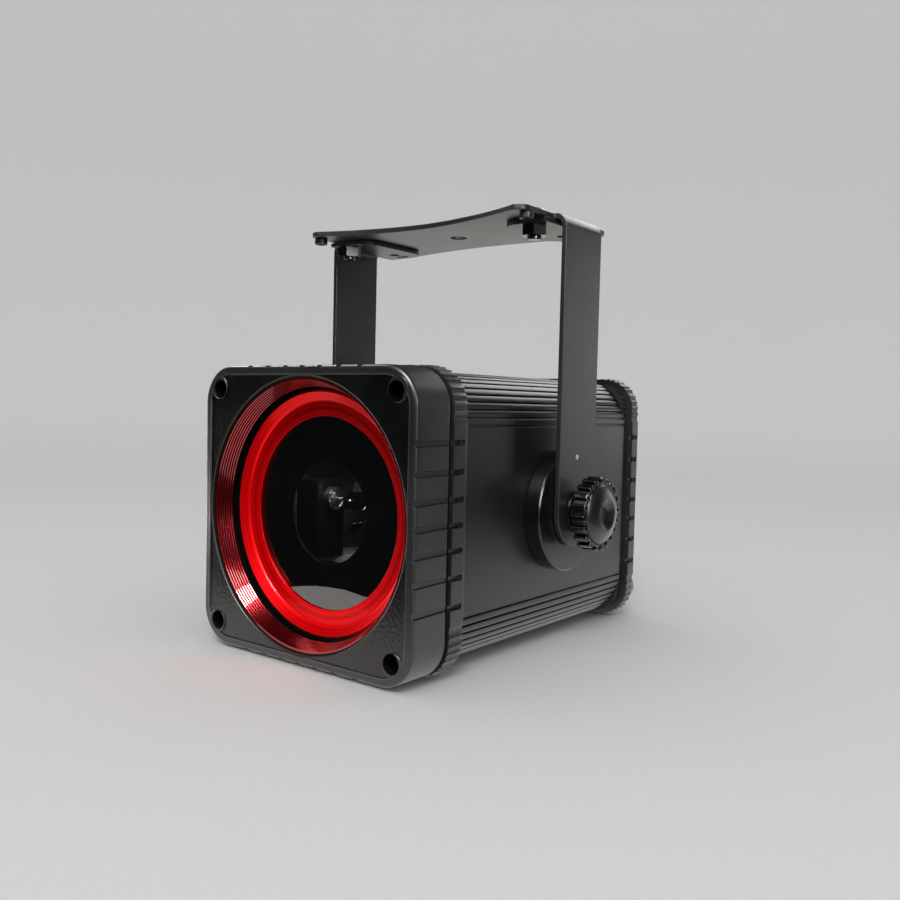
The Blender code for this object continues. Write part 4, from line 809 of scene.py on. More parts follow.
# behind the ribs: a groove, the seat of the red ring, and the shelf it lies on
def cutSeat(body):
    end = cap["length"] + 3
    seat = [(0, mouth["ribEndDepth"] + 0.1), (mouth["grooveRadius"], mouth["ribEndDepth"] + 0.1),
            (mouth["grooveRadius"], mouth["grooveBack"]), (mouth["seat"], mouth["grooveBack"]),
            (mouth["seat"], mouth["shelfDepth"]), (mouth["shelfRadius"], mouth["shelfDepth"]),
            (mouth["shelfRadius"], end), (0, end)]
    # the groove, seat and shelf faces take the painted shade black
    bm = spin(seat, at(0, 0, 0), alongDepth, mouth["segments"])
    combine(body, meshFrom(bm, "grooveTool", [look["paintedShadeBlack"]]))


def cutCornerHoles(body):
    radius, sink, end = corners["radius"], corners["sink"], cap["length"] + 2
    profile = [(0, -2), (radius + 2.3, -2, 0), (radius + 0.2, 0.1), (radius, 0.5), (radius, sink, 0.5),
               (corners["holeRadius"], sink, 0), (corners["holeRadius"], end, 0), (0, end)]
    # the counterbores and holes take the painted shade black
    hole = turnedPiece("hole", profile, origin, alongDepth, look["paintedShadeBlack"], 64, 0.1, 2)
    combine(body, cornerCopies(hole, look["paintedShadeBlack"]))


def makeFrontCap():
    body = capBody()
    for work in (addRims, cutMouth, cutSeat, cutCornerHoles):
        work(body)
    return settle(body, "housing", ["front_cap"], angle=38)


# one ribbed ring, repeated down the mouth and drawn in a little each time; its red is a painted reflection of the red
# ring
def makeMouthRibs():
    steps = mouth["ribs"] - 1
    pitch = (mouth["ribEndDepth"] - mouth["ribStartDepth"]) / steps
    first = mouth["ribStart"]
    foot, root = first + mouth["ribHeight"] + 0.25, first + mouth["ribHeight"] + 0.6
    land, footHalf, rootHalf = (pitch * mouth[key] for key in ("land", "ribFoot", "ribRoot"))
    drop = land * mouth["landSlope"]
    profile = [(first + drop, -land, 0.08), (first - drop, land, 0.08), (foot, footHalf), (root, rootHalf),
               (root, -rootHalf), (foot, -footHalf)]
    bm = spin(eased(profile, 0.1, 4), origin, alongDepth, mouth["segments"])
    ring = meshFrom(bm, "mouthRibs", [look["ribsPaintedRedReflection"]])
    shrink = (mouth["ribEnd"] - mouth["ribStart"]) / steps / first
    repeat(ring, "row", look["ribsPaintedRedReflection"], Count=mouth["ribs"], Step=Vector((0, pitch * mouth["closeness"] * mm, 0)),
           Growth=Vector((shrink, 0, shrink)))
    ring.data.transform(Matrix.Translation(at(0, mouth["ribStartDepth"] + mouth["ribShift"], 0)))
    return settle(ring, "housing", angle=50)


makeFrontCap()
makeMouthRibs()
print("front cap made")


# its walls take the near-black inner finish, painted shade
def openingTool(front, back):
    outline = squareOutline(flange["opening"], flange["openingCorner"], [], cornerSteps=10)
    return meshFrom(loft([ringAt(outline, front), ringAt(outline, back)]), "openingTool", [look["innerWallPaintedShade"]])


collar = {"front": 28.4, "back": 39.4, "edge": 0.5}


# rings of a scalloped flange whose cross slots run out before its back edge
def flangeRings(front, back, slotEnd, frontEdge, backEdge):
    middles = [share * 2 * flange["half"] for share in flange["notchShares"]]
    rings = []
    stations = [(front, frontEdge, 1), (front + frontEdge * 0.3, frontEdge * 0.3, 1), (front + frontEdge, 0, 1),
                (slotEnd - 1.1, 0, 1), (slotEnd - 0.5, 0, 0.75), (slotEnd - 0.12, 0, 0.3), (slotEnd, 0, 0),
                (back - backEdge, 0, 0), (back - backEdge * 0.3, backEdge * 0.3, 0), (back, backEdge, 0)]
    for depth, inset, share in stations:
        dip = max(0.0, flange["slotDepth"] * share - inset)
        outline = squareOutline(flange["half"] - inset, flange["corner"] - inset,
                                [(middle, flange["slotWidth"], dip) for middle in middles], flange["flutes"],
                                flange["fluteDepth"])
        rings.append(ringAt(outline, depth))
    return rings


def makeCollar():
    rings = flangeRings(collar["front"], collar["back"], collar["back"] - flange["slotEnd"], 0.4, collar["edge"])
    body = meshFrom(loft(rings), "frontCollar", [look["castPaint"]])
    combine(body, openingTool(collar["front"] - 5, collar["back"] + 5))
    return settle(body, "housing", ["front_collar"], angle=32)


makeCollar()

extrusion = {"front": 39.7, "back": 214.5, "half": 77.25, "corner": 28.5, "grooves": 11, "grooveWidth": 1.1,
             "grooveDepth": 1.3, "crown": 0.14, "landSteps": 8}


# rounded square whose corners carry crowned lands between narrow grooves
def extrusionOutline():
    corner, half = extrusion["corner"], extrusion["half"]
    pitch = math.pi / 2 / (extrusion["grooves"] - 1 + 0.2)
    narrow = extrusion["grooveWidth"] / corner / 2
    side = []
    for groove in range(extrusion["grooves"]):
        middle = pitch * (groove + 0.1)
        cut = extrusion["grooveDepth"]
        shape = [(-1.5, 0.0), (-1.15, 0.06), (-0.95, 0.22), (-0.82, 0.5), (-0.75, cut), (0.75, cut), (0.82, 0.5),
                 (0.95, 0.22), (1.15, 0.06), (1.5, 0.0)]
        side += [(middle + share * narrow, dip) for share, dip in shape]
        if groove < extrusion["grooves"] - 1:
            low, high = middle + 1.5 * narrow, middle + pitch - 1.5 * narrow
            for step in range(1, extrusion["landSteps"]):
                share = step / extrusion["landSteps"]
                side.append((low + (high - low) * share, -extrusion["crown"] * 4 * share * (1 - share)))
    points = [(half - corner + (corner - dip) * math.cos(angle), half - corner + (corner - dip) * math.sin(angle))
              for angle, dip in side]
    result = []
    for _ in range(4):
        result += points
        points = [(-z, x) for x, z in points]
    return result


# the inside of the profile: webs across the corners and plain walls
def cavityOutline():
    half, web = 73.25, 51.5
    right = [(web, -half), (half, -web), (half, web), (web, half)]
    return right + [(-x, z) for x, z in reversed(right)]


def makeExtrusion():
    bm = bmesh.new()
    bm.faces.new([bm.verts.new(point) for point in ringAt(extrusionOutline(), extrusion["front"])])
    for face in bm.faces:
        if face.normal.y > 0:
            face.normal_flip()
    mesh = bpy.data.meshes.new("extrudedBody")
    bm.to_mesh(mesh)
    bm.free()
    body = newObject("extrudedBody", mesh)
    repeat(body, "sweep", look["anodised"], Length=(extrusion["back"] - extrusion["front"]) * mm)
    inner = cavityOutline()
    # the cavity walls take the near-black inner finish, painted shade
    tool = meshFrom(loft([ringAt(inner, extrusion["front"] - 4), ringAt(inner, extrusion["back"] + 4)]), "cavityTool",
                    [look["innerWallPaintedShade"]])
    combine(body, tool)
    return settle(body, "housing", ["extruded_housing"], angle=40)


makeExtrusion()
print("collar and extruded body made")

# pane: width, height, depth, rise; button: radius, pitch, rise; key and gland: place and radius;
# panel: half width, half height, corner, depth, rise
rear = {"neckFront": 215.9, "neckHalf": 75.8, "flangeFront": 221.4, "face": 230.9, "plate": 6.0, "screwRadius": 5.0,
        "screwSink": 4.4, "upper": (65.93, 65.93), "lower": (44.0, -66.5), "pane": (50.6, 24.6, 2.3, 26.0),
        "button": (4.5, 14.5, -4.0), "key": (-48.0, 14.0, 7.8), "deep": 9.0, "gland": (66.0, -62.5, 7.7),
        "glandDeep": 4.7, "panel": (34.0, 29.5, 5.0, 0.6, 15.0)}


def makeRearCover():
    neckCorner = flange["corner"] - (flange["half"] - rear["neckHalf"])
    middles = [share * 2 * flange["half"] for share in flange["notchShares"]]
    plain = squareOutline(rear["neckHalf"], neckCorner, [(middle, flange["slotWidth"], 0) for middle in middles],
                          flange["flutes"], flange["fluteDepth"])
    rings = [ringAt(plain, rear["neckFront"]), ringAt(plain, rear["flangeFront"] - 0.2)]
    rings += flangeRings(rear["flangeFront"], rear["face"], rear["face"] - flange["slotEnd"], 0.4, 1.6)
    body = meshFrom(loft(rings), "rearCover", [look["castPaint"], look["faceGrainPaintedShade"], look["innerWallPaintedShade"]])
    combine(body, openingTool(rear["neckFront"] - 5, rear["face"] - rear["plate"]))
    cutters = bmesh.new()
    where = rear["face"]

    def sunkHole(radius, depth, lip):
        return [(0, where - depth), (radius, where - depth), (radius, where - lip), (radius + 0.4, where + 0.02),
                (radius + 0.4, where + 2), (0, where + 2)]

    # a box-shaped recess through its (inset, depth) rings
    def sinkBox(halfX, halfZ, corner, rise, stations, finish):
        rings = [[at(x, depth, z + rise) for x, z in boxOutline(halfX - inset, halfZ - inset, corner - inset)]
                 for inset, depth in stations]
        combine(body, meshFrom(loft(rings), "recessTool", [look[finish]]))

    for sx in (-1, 1):
        for x, z in (rear["upper"], rear["lower"]):
            hole = sunkHole(rear["screwRadius"], rear["screwSink"], 0.4)
            spin(hole, at(sx * x, 0, z), alongDepth, 48, cutters)
    radius, pitch, rise = rear["button"]
    for number in range(4):
        spin(sunkHole(radius, rear["deep"], 0.3), at((number - 1.5) * pitch, 0, rise), alongDepth, 40, cutters)
    keyX, keyZ, keyRadius = rear["key"]
    spin(discProfile(keyRadius, where - rear["deep"], where + 2), at(keyX, 0, keyZ), alongDepth, 40, cutters)
    glandX, glandZ, glandRadius = rear["gland"]
    hole = discProfile(glandRadius, where - rear["glandDeep"], where + 2)
    for sx in (-1, 1):
        spin(hole, at(sx * glandX, 0, glandZ), alongDepth, 40, cutters)
    combine(body, meshFrom(cutters, "coverTool", [look["castPaint"]]))
    halfX, halfZ, corner, sink, rise = rear["panel"]
    # the rear panel recess takes the same finish, darker than the cast paint, as a membrane panel
    sinkBox(halfX, halfZ, corner, rise, ((sink, where - sink), (0, where + 0.01), (0, where + 2)), "faceGrainPaintedShade")
    wide, high, deep, rise = rear["pane"]
    # the recess round the pane is lined with the painted shade black
    sinkBox(wide / 2, high / 2, 2.0, rise, ((0, where - deep), (0, where + 2)), "paintedShadeBlack")
    return settle(body, "housing", ["rear_cover"], angle=32)


makeRearCover()
print("rear cover made")

optics = {"ring": 66.4, "front": 14.5, "step": 61.2, "stepDepth": 18.2, "bore": 52.5, "pocket": 19.4, "back": 22.9,
          "pocketRadius": 60.1, "window": 56.5, "windowFront": 19.7, "windowBack": 22.7, "maskFront": 23.0,
          "maskBack": 24.2, "aperture": 28.0, "segments": 240}


def makeOptics():
    o = optics
    ring = [(o["ring"], o["back"], 0.1), (o["pocketRadius"], o["back"], 0.1), (o["pocketRadius"], o["pocket"], 0.1),
            (o["bore"], o["pocket"], 0.1), (o["bore"], o["pocket"] - 0.75, 0.25),
            (o["step"] - 0.7, o["stepDepth"] + 0.1, 0.3), (o["step"], o["stepDepth"] - 0.75, 0.25),
            (o["ring"] - 0.8, o["front"], 0.3), (o["ring"], o["front"] + 0.8, 0.2)]
    settle(turnedPiece("redRing", ring, at(0, 0, 0), alongDepth, look["red"], o["segments"]), "housing",
           ["red_trim_ring"])
    window = discProfile(o["window"], o["windowFront"], o["windowBack"])
    settle(turnedPiece("frontGlass", window, at(0, 0, 0), alongDepth, look["glass"], o["segments"]), "housing",
           ["window_glass"])
    mask = [(o["aperture"], o["maskFront"] + 0.35, 0.1), (o["aperture"] + 0.5, o["maskFront"], 0.1),
            (o["ring"], o["maskFront"], 0.1), (o["ring"], o["maskBack"], 0.1), (o["aperture"], o["maskBack"], 0.1)]
    settle(turnedPiece("apertureMask", mask, at(0, 0, 0), alongDepth, look["turnedSheetPaintedShade"], 160), "housing",
           ["aperture_mask"])


makeOptics()
screwSize = {"head": 4.2, "height": 4.0, "shank": 2.2, "length": 6.0, "socket": 2.0, "socketDepth": 1.8,
             "chamfer": 0.45}


# a socket screw's head at the origin; facing is the way its head looks along the depth
def capScrew(name, facing):
    s = screwSize
    end = -s["height"] - s["length"]
    profile = [(0, end), (s["shank"], end, 0.3), (s["shank"], -s["height"], 0), (s["head"], -s["height"], 0.2),
               (s["head"], 0, s["chamfer"]), (0, 0)]
    screw = turnedPiece(name, profile, origin, alongDepth * facing, look["blackZinc"], 40)
    bm = spin(discProfile(s["socket"] * 1.1, -s["socketDepth"], 1), origin, alongDepth * facing, 6)
    socket = meshFrom(bm, "socket", [look["blackZinc"]])
    return combine(screw, socket)


def makeScrews():
    words = ("upper_left", "upper_right", "lower_left", "lower_right")
    front = capScrew("frontScrews", -1)
    headDepth = corners["sink"] - 0.3 - screwSize["height"]
    cornerCopies(front, look["blackZinc"], headDepth)
    settle(front, "housing", ["front_screw_" + word for word in words])
    low = rear["face"] - rear["screwSink"] + 0.3 + screwSize["height"]
    for name, (x, z), ends in (("rearScrewsUpper", rear["upper"], words[:2]),
                               ("rearScrewsLower", rear["lower"], words[2:])):
        pair = capScrew(name, 1)
        repeat(pair, "row", look["blackZinc"], Count=2, Step=Vector((2 * x * mm, 0, 0)))
        pair.data.transform(Matrix.Translation(at(-x, low, z)))
        settle(pair, "housing", ["rear_screw_" + word for word in ends])


makeScrews()
print("optics and screws made")

sideWords = {1: "right", -1: "left"}

# Yoke: one flat blank, rounded at its edges and then bent
yoke = {"thickness": 3.0, "edge": 0.45, "arm": 40.0, "waist": 69.0, "front": 51.5, "rear": 43.5, "corner": 7.0,
        "taper": 1.8, "bend": 4.5, "endX": 82.95, "hole": 5.25, "stud": 4.2, "boltX": 71.95, "boltForward": 24.0,
        "boltHole": 4.2, "bendSteps": 12, "taperSteps": 28, "pip": (131.0, 31.7, 1.5, 0.45)}
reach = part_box("yoke_bracket")[1].z / mm - middleZ / mm


# a quarter of the flat blank, from the middle of the plate to the end of the arm
def blankQuarter(end, pivotAlong):
    half, armHalf = yoke["waist"] / 2, yoke["arm"] / 2
    edge = yoke["endX"] - 0.8
    flat = edge - yoke["corner"]
    quarter = []
    for step in range(yoke["taperSteps"] + 1):
        s = flat * step / yoke["taperSteps"]
        quarter.append((s, half + (end - half) * (s / flat) ** yoke["taper"]))
    for turn in quarterTurns(10)[-2::-1]:
        quarter.append((flat + yoke["corner"] * math.cos(turn), end - yoke["corner"] + yoke["corner"] * math.sin(turn)))
    quarter += [(edge, armHalf + 0.8), (edge + 0.25, armHalf + 0.25), (edge + 0.8, armHalf)]
    for turn in quarterTurns(20)[::-1]:
        quarter.append((pivotAlong + armHalf * math.cos(turn), armHalf * math.sin(turn)))
    return quarter


def yokeBlank():
    neutral = yoke["bend"] + yoke["thickness"] / 2
    bendLength = neutral * math.pi / 2
    pivotAlong = yoke["endX"] + bendLength + (reach - yoke["thickness"] / 2 - neutral)
    front = blankQuarter(yoke["front"], pivotAlong)
    back = [(s, -t) for s, t in reversed(blankQuarter(yoke["rear"], pivotAlong)[:-1])]
    right = front + back
    outline = right + [(-s, t) for s, t in reversed(right)][1:-1]
    holes = [circle(0, 0, yoke["hole"], 56)]
    for side in (-1, 1):
        holes.append(circle(side * pivotAlong, 0, yoke["stud"]))
        holes.append(circle(side * yoke["boltX"], yoke["boltForward"], yoke["boltHole"], 32))
    scaled = [[(s * mm, t * mm) for s, t in line] for line in [outline] + holes]
    return plate(scaled[0], scaled[1:], yoke["thickness"] * mm, yoke["edge"] * mm), neutral, bendLength


def makeYoke():
    bm, neutral, bendLength = yokeBlank()
    for side in (-1, 1):
        for step in range(yoke["bendSteps"] + 1):
            place = side * (yoke["endX"] + bendLength * step / yoke["bendSteps"]) * mm
            everything = bm.verts[:] + bm.edges[:] + bm.faces[:]
            bmesh.ops.bisect_plane(bm, geom=everything, plane_co=(place, 0, 0), plane_no=(1, 0, 0), dist=1e-7)
    topMiddle = reach - yoke["thickness"] / 2
    for vert in bm.verts:
        s, t, n = (part / mm for part in vert.co)
        side = 1 if s >= 0 else -1
        past = abs(s) - yoke["endX"]
        if past <= 0:
            x, rise = abs(s), topMiddle + n
        elif past < bendLength:
            turn = past / neutral
            x = yoke["endX"] + (neutral + n) * math.sin(turn)
            rise = topMiddle - neutral + (neutral + n) * math.cos(turn)
        else:
            x = yoke["endX"] + neutral + n
            rise = topMiddle - neutral - (past - bendLength)
        vert.co = at(side * x, pivotDepth / mm - t, rise)
    # its second material is the painted edge highlight on the rounded edges
    body = meshFrom(bm, "yokeBracket", [look["powderSteel"], look["paintedEdgeHighlight"]])
    return settle(body, "yoke", ["yoke_bracket"], angle=50)


# a small weld mark on the right arm
def makePip():
    spot, rise, radius, height = yoke["pip"]
    face = yoke["endX"] + yoke["bend"] + yoke["thickness"]
    dome = [(0, -0.5), (radius, -0.5, 0), (radius, 0.05, 0.1), (radius * 0.6, height * 0.8, 0.3), (0, height)]
    pip = turnedPiece("weldPip", dome, at(face, spot, rise), xAxis, look["bareMetal"], 24)
    settle(pip, "yoke")


makeYoke()
makePip()
print("yoke bent")

stiffener = {"length": 32.0, "width": 60.0, "corner": 13.0, "thickness": 2.7, "edge": 0.4, "round": 3.4,
             "slotLength": 10.0, "slotWidth": 3.6}


def makeStiffener(side):
    middleX = side * (yoke["endX"] - stiffener["length"] / 2)
    halfX, halfY, corner = stiffener["length"] / 2, stiffener["width"] / 2, stiffener["corner"]
    outline = []
    for step in range(25):
        turn = math.radians(90 + 180 * step / 24)
        lift = halfY - corner if turn <= math.pi else corner - halfY
        if step == 12:
            outline.append((corner - halfX - corner, halfY - corner))
        outline.append((corner - halfX + corner * math.cos(turn), lift + corner * math.sin(turn)))
    outline += [(halfX, -halfY), (halfX, halfY)]
    outline = [((side * x + middleX) * mm, y * mm) for x, y in outline]
    slotHalf = stiffener["slotLength"] / 2
    slot = []
    for step in range(16):
        turn = 2 * math.pi * (step + 0.5) / 16
        push = math.copysign(slotHalf - stiffener["slotWidth"] / 2, math.cos(turn))
        slot.append((push + stiffener["slotWidth"] / 2 * math.cos(turn), stiffener["slotWidth"] / 2 * math.sin(turn)))
    # across the sheet, plus is towards the rear
    holes = [circle(side * yoke["boltX"], -yoke["boltForward"], yoke["boltHole"], 32),
             circle(middleX, halfY / 2, stiffener["round"], 32), [(x + middleX, y + halfY * 0.78) for x, y in slot]]
    holes = [[(x * mm, y * mm) for x, y in line] for line in holes]
    bm = plate(outline, holes, stiffener["thickness"] * mm, stiffener["edge"] * mm)
    rise = reach - yoke["thickness"] - 0.3 - stiffener["thickness"] / 2
    bmesh.ops.translate(bm, verts=bm.verts, vec=at(0, pivotDepth / mm, rise))
    name = "stiffener_" + sideWords[side]
    # its second material is the painted edge highlight on the rounded edges
    body = meshFrom(bm, name, [look["powderSteel"], look["paintedEdgeHighlight"]])
    settle(body, "yoke", [name], angle=50)


hardware = {"boltRadius": 3.9, "headRadius": 6.8, "headHeight": 2.8, "nutRadius": 7.5, "nutHeight": 6.2, "nutBore": 4.2,
            "nutFace": 6.7, "socket": 2.4, "tip": 2.0, "spacerX": 78.95, "spacerForward": 43.0, "spacerRadius": 4.0,
            "spacerHeight": 3.4, "spacerBore": 2.4}


def makeBoltAndNut(side):
    h, word = hardware, sideWords[side]
    top = reach + 0.3
    low = reach - yoke["thickness"] - 0.6 - stiffener["thickness"]
    nutLow, nutEdge = low - h["nutHeight"], h["nutRadius"] * 1.03
    head = top + h["headHeight"]
    spot = at(side * yoke["boltX"], pivotDepth / mm - yoke["boltForward"], 0)
    bolt = [(0, nutLow - h["tip"]), (h["boltRadius"], nutLow - h["tip"], 0.6), (h["boltRadius"], top, 0),
            (h["headRadius"], top, 0.2), (h["headRadius"], top + 0.9, 0.4),
            (h["headRadius"] * 0.6, head - 0.2, 1.5), (h["socket"], head, 0.2), (h["socket"], head - 1.6, 0),
            (0, head - 1.6)]
    settle(turnedPiece("yokeBolt_" + word, bolt, spot, zAxis, look["blackZinc"], 48), "yoke",
           ["stiffener_bolt_" + word])
    nut = [(h["nutBore"], nutLow, 0.5), (h["nutFace"], nutLow, 0), (nutEdge, nutLow + 0.5, 0), (nutEdge, low - 0.5, 0),
           (h["nutFace"], low, 0), (h["nutBore"], low, 0.5)]
    nut = turnedPiece("yokeNut_" + word, nut, spot, zAxis, look["blackZinc"], 48)
    bm = spin(discProfile(h["nutRadius"], nutLow - 2, low + 2), spot, zAxis, 6)
    flats = meshFrom(bm, "flats", [look["blackZinc"]])
    combine(nut, flats, "INTERSECT")
    settle(nut, "yoke", ["stiffener_nut_" + word])


def makeSpacer(side):
    h, word = hardware, sideWords[side]
    under = reach - yoke["thickness"] - 0.3
    end, middle = under - h["spacerHeight"], under - h["spacerHeight"] / 2
    spacer = [(0, under), (h["spacerRadius"], under, 0.3), (h["spacerRadius"], end, 0.4), (h["spacerBore"], end, 0.3),
              (h["spacerBore"], middle, 0.1), (0, middle)]
    spot = at(side * h["spacerX"], pivotDepth / mm - h["spacerForward"], 0)
    settle(turnedPiece("spacer_" + word, spacer, spot, zAxis, look["powderSteel"], 48), "yoke",
           ["spacer_" + word])


pivotCentre = Vector((0, pivotY, middleZ))
pivot = {"disc": 34.8, "low": 77.55, "face": 87.15, "chamfer": 0.8, "hole": 4.2, "washer": 12.0,
         "washerLow": 90.75, "washerHigh": 92.35}
knob = {"back": 92.65, "hub": 10.5, "grip": 98.15, "front": 107.35, "core": 18.9, "tip": 66.25, "stud": 3.9,
        "teeth": 20, "firstTooth": 3.0, "toothTop": 21.4, "toothRoot": 17.7, "toothWidth": 3.7, "toothDrop": 0.35,
        "toothTaper": 0.92, "toothRound": 0.85, "rim": 16.9, "innerRim": 9.0, "dome": 110.55, "dish": 4.3,
        "dishDepth": 2.9}


# one rib of the grip, standing at local +Z from an axis along +X
def makeTooth(name):
    bm = bmesh.new()
    bmesh.ops.create_cube(bm, size=1.0)
    low, high = knob["grip"] + 0.2, knob["front"]
    inner, outer = knob["toothRoot"], knob["toothTop"]
    for vert in bm.verts:
        x = high if vert.co.x > 0 else low
        z = outer if vert.co.z > 0 else inner
        if vert.co.x > 0 and vert.co.z > 0:
            z -= knob["toothDrop"]
        width = knob["toothWidth"] * (knob["toothTaper"] if vert.co.z > 0 else 1.0)
        vert.co = Vector((x, math.copysign(width / 2, vert.co.y), z)) * mm
    bmesh.ops.bevel(bm, geom=bm.edges[:], offset=knob["toothRound"] * mm, segments=4, affect="EDGES", profile=0.5)
    return meshFrom(bm, name, [look["gripPlastic"]])


def makePivotDisc(side):
    p, word = pivot, sideWords[side]
    disc = [(p["hole"], p["low"]), (p["disc"], p["low"], 0.3), (p["disc"], p["face"] - p["chamfer"], 0.25),
            (p["disc"] - p["chamfer"], p["face"], 0.3), (p["hole"], p["face"], 0.2)]
    settle(turnedPiece("pivotDisc_" + word, disc, pivotCentre, xAxis * side, look["turnedBlack"], 160), "housing",
           ["pivot_disc_" + word])


def makeWasher(side):
    p, word = pivot, sideWords[side]
    washer = discProfile(p["washer"], p["washerLow"], p["washerHigh"], p["hole"])
    settle(turnedPiece("knobWasher_" + word, washer, pivotCentre, xAxis * side, look["turnedZinc"], 64, 0.25),
           "washer_" + word, ["knob_washer_" + word])


def makeKnob(side):
    k, word, axis = knob, sideWords[side], xAxis * side
    body = [(0, k["tip"]), (k["stud"], k["tip"], 0.6), (k["stud"], k["back"], 0), (k["hub"], k["back"], 0.5),
            (k["hub"], k["grip"], 0.3), (k["core"] - 0.5, k["grip"], 0.4), (k["core"], k["grip"] + 0.8, 0.4),
            (k["core"], k["front"] - 0.9, 0.5), (k["rim"] + 0.7, k["front"] - 0.5, 0.2),
            (k["rim"] + 0.3, k["front"] - 1.0, 0.1), (k["rim"], k["front"] - 0.2, 0.3)]
    for step in range(1, 9):
        turn = step / 9
        body.append((k["rim"] + (k["innerRim"] - k["rim"]) * turn,
                     k["front"] + (k["dome"] - k["front"] - 0.1) * math.sin(math.pi / 2 * turn) ** 0.9, 0))
    body += [(k["innerRim"], k["dome"], 0.25), (k["innerRim"] - 0.5, k["dome"] - 0.45, 0.2),
             (k["dish"], k["dome"] - k["dishDepth"], 0.3), (0, k["dome"] - k["dishDepth"] - 0.1)]
    bm = spin(eased(body, 0.3, 4), pivotCentre, axis, 120)
    core = meshFrom(bm, "knob_core_" + word, [look["knobFace"]])
    settle(core, "knob_" + word, ["knob_" + word], angle=50)
    grip = makeTooth("knob_grip_" + word)
    grip.data.transform(Matrix.Translation(pivotCentre) @ Matrix.Rotation(0 if side > 0 else math.pi, 4, "Z"))
    repeat(grip, "round", look["gripPlastic"], Count=k["teeth"], Centre=pivotCentre, Axis=axis,
           First_Turn=math.radians(k["firstTooth"]))
    settle(grip, "knob_" + word, angle=50)


for side in (-1, 1):
    for make in (makeStiffener, makeBoltAndNut, makeSpacer, makePivotDisc, makeWasher, makeKnob):
        make(side)
print("stiffeners, pivots and knobs made")

# pieces that take the CAD shape with rounded edges: the node, its name here, finish, body, slot and edge
# the scanner block takes the painted shade black, so that the inside shows as shade round the metal parts
inside = [("scanner_block", "scannerBlock", "paintedShadeBlack", "housing", "black_plastic", 0.5),
          ("optics_base", "opticsBase", "bareMetal", "housing", "bare_aluminium", 0.5),
          ("scan_motor_tall", "motorTall", "plainSteel", "housing", "steel", 0.3),
          ("scan_motor_low", "motorLow", "plainSteel", "housing", "steel", 0.3)]
for source, name, finish, slot, edge in (("laser_module_", "module", "blackBox", "black_plastic", 0.0),
                                         ("beam_combiner_", "combiner", "mirrorCoat", "mirror", 0.2)):
    inside += [(source + hue, name + hue.title(), finish, "housing", slot, edge) for hue in ("red", "green", "blue")]
inside += [("scan_mirror_tall", "mirrorTall", "mirrorCoat", "mirror_tall", "mirror", 0.15),
           ("scan_mirror_low", "mirrorLow", "mirrorCoat", "mirror_low", "mirror", 0.15)]
rearControls = [("power_gland", "powerGland", "satinPlastic", "housing", "black_plastic", 0.4),
                ("signal_gland", "signalGland", "satinPlastic", "housing", "black_plastic", 0.4),
                ("safety_eyelet", "safetyEyelet", "blackZinc", "housing", "steel", 0.4),
                ("key", "keyBow", "plainSteel", "key", "steel", 0.25),
                ("key_switch", "keySwitch", "blackZinc", "housing", "steel", 0.25),
                ("display_window", "displayPane", "pane", "housing", "dark_glass", 0.3)]
for number in range(1, 5):
    rearControls.append((f"menu_button_{number}", f"menuButton_{number}", "rubber", f"button_{number}", "rubber", 0.3))
for stage, pieces in (("inside", inside), ("rear controls", rearControls)):
    for node, name, finish, body, slot, edge in pieces:
        softened(node, name, look[finish], body, edge * mm)
    print(stage, "made")

keptNodes = {"front_gasket": "rubber", "rear_gasket": "rubber", "window_seal": "rubber",
             "pivot_insert_left": "plainSteel", "pivot_insert_right": "plainSteel", "scanner_driver": "blackBox",
             "power_supply": "blackBox"}
for name, finish in keptNodes.items():
    mesh = cadNodes[name].data
    mesh.materials.clear()
    mesh.materials.append(look[finish])
shown = {name for name, node in cadNodes.items() if not node.hide_render}
print("CAD nodes still shown:", sorted(shown - set(keptNodes)) or "only the kept ones")


# Stage and light
floor = {"colour": (0.70, 0.70, 0.695, 1.0), "rough": 0.9, "flat": 2.4, "curve": 1.4, "height": 2.2, "glowFrom": 0.9,
         "glowTo": 3.2, "glow": 0.10}
# the table that black surfaces mirror: it ends in front of, beside and behind the projector
table = {"colour": (0.64, 0.615, 0.585, 1.0), "rise": 0.0006, "glow": 1.25,
         "edge": [(-1.0, -0.19), (-0.155, -0.212), (-0.150, -0.225), (-0.142, -0.233), (-0.132, -0.2372),
                  (-0.116, -0.2385), (-0.096, -0.2335), (-0.0886, -0.231), (0.28, -0.20), (0.28, 1.7), (-1.0, 1.7)]}


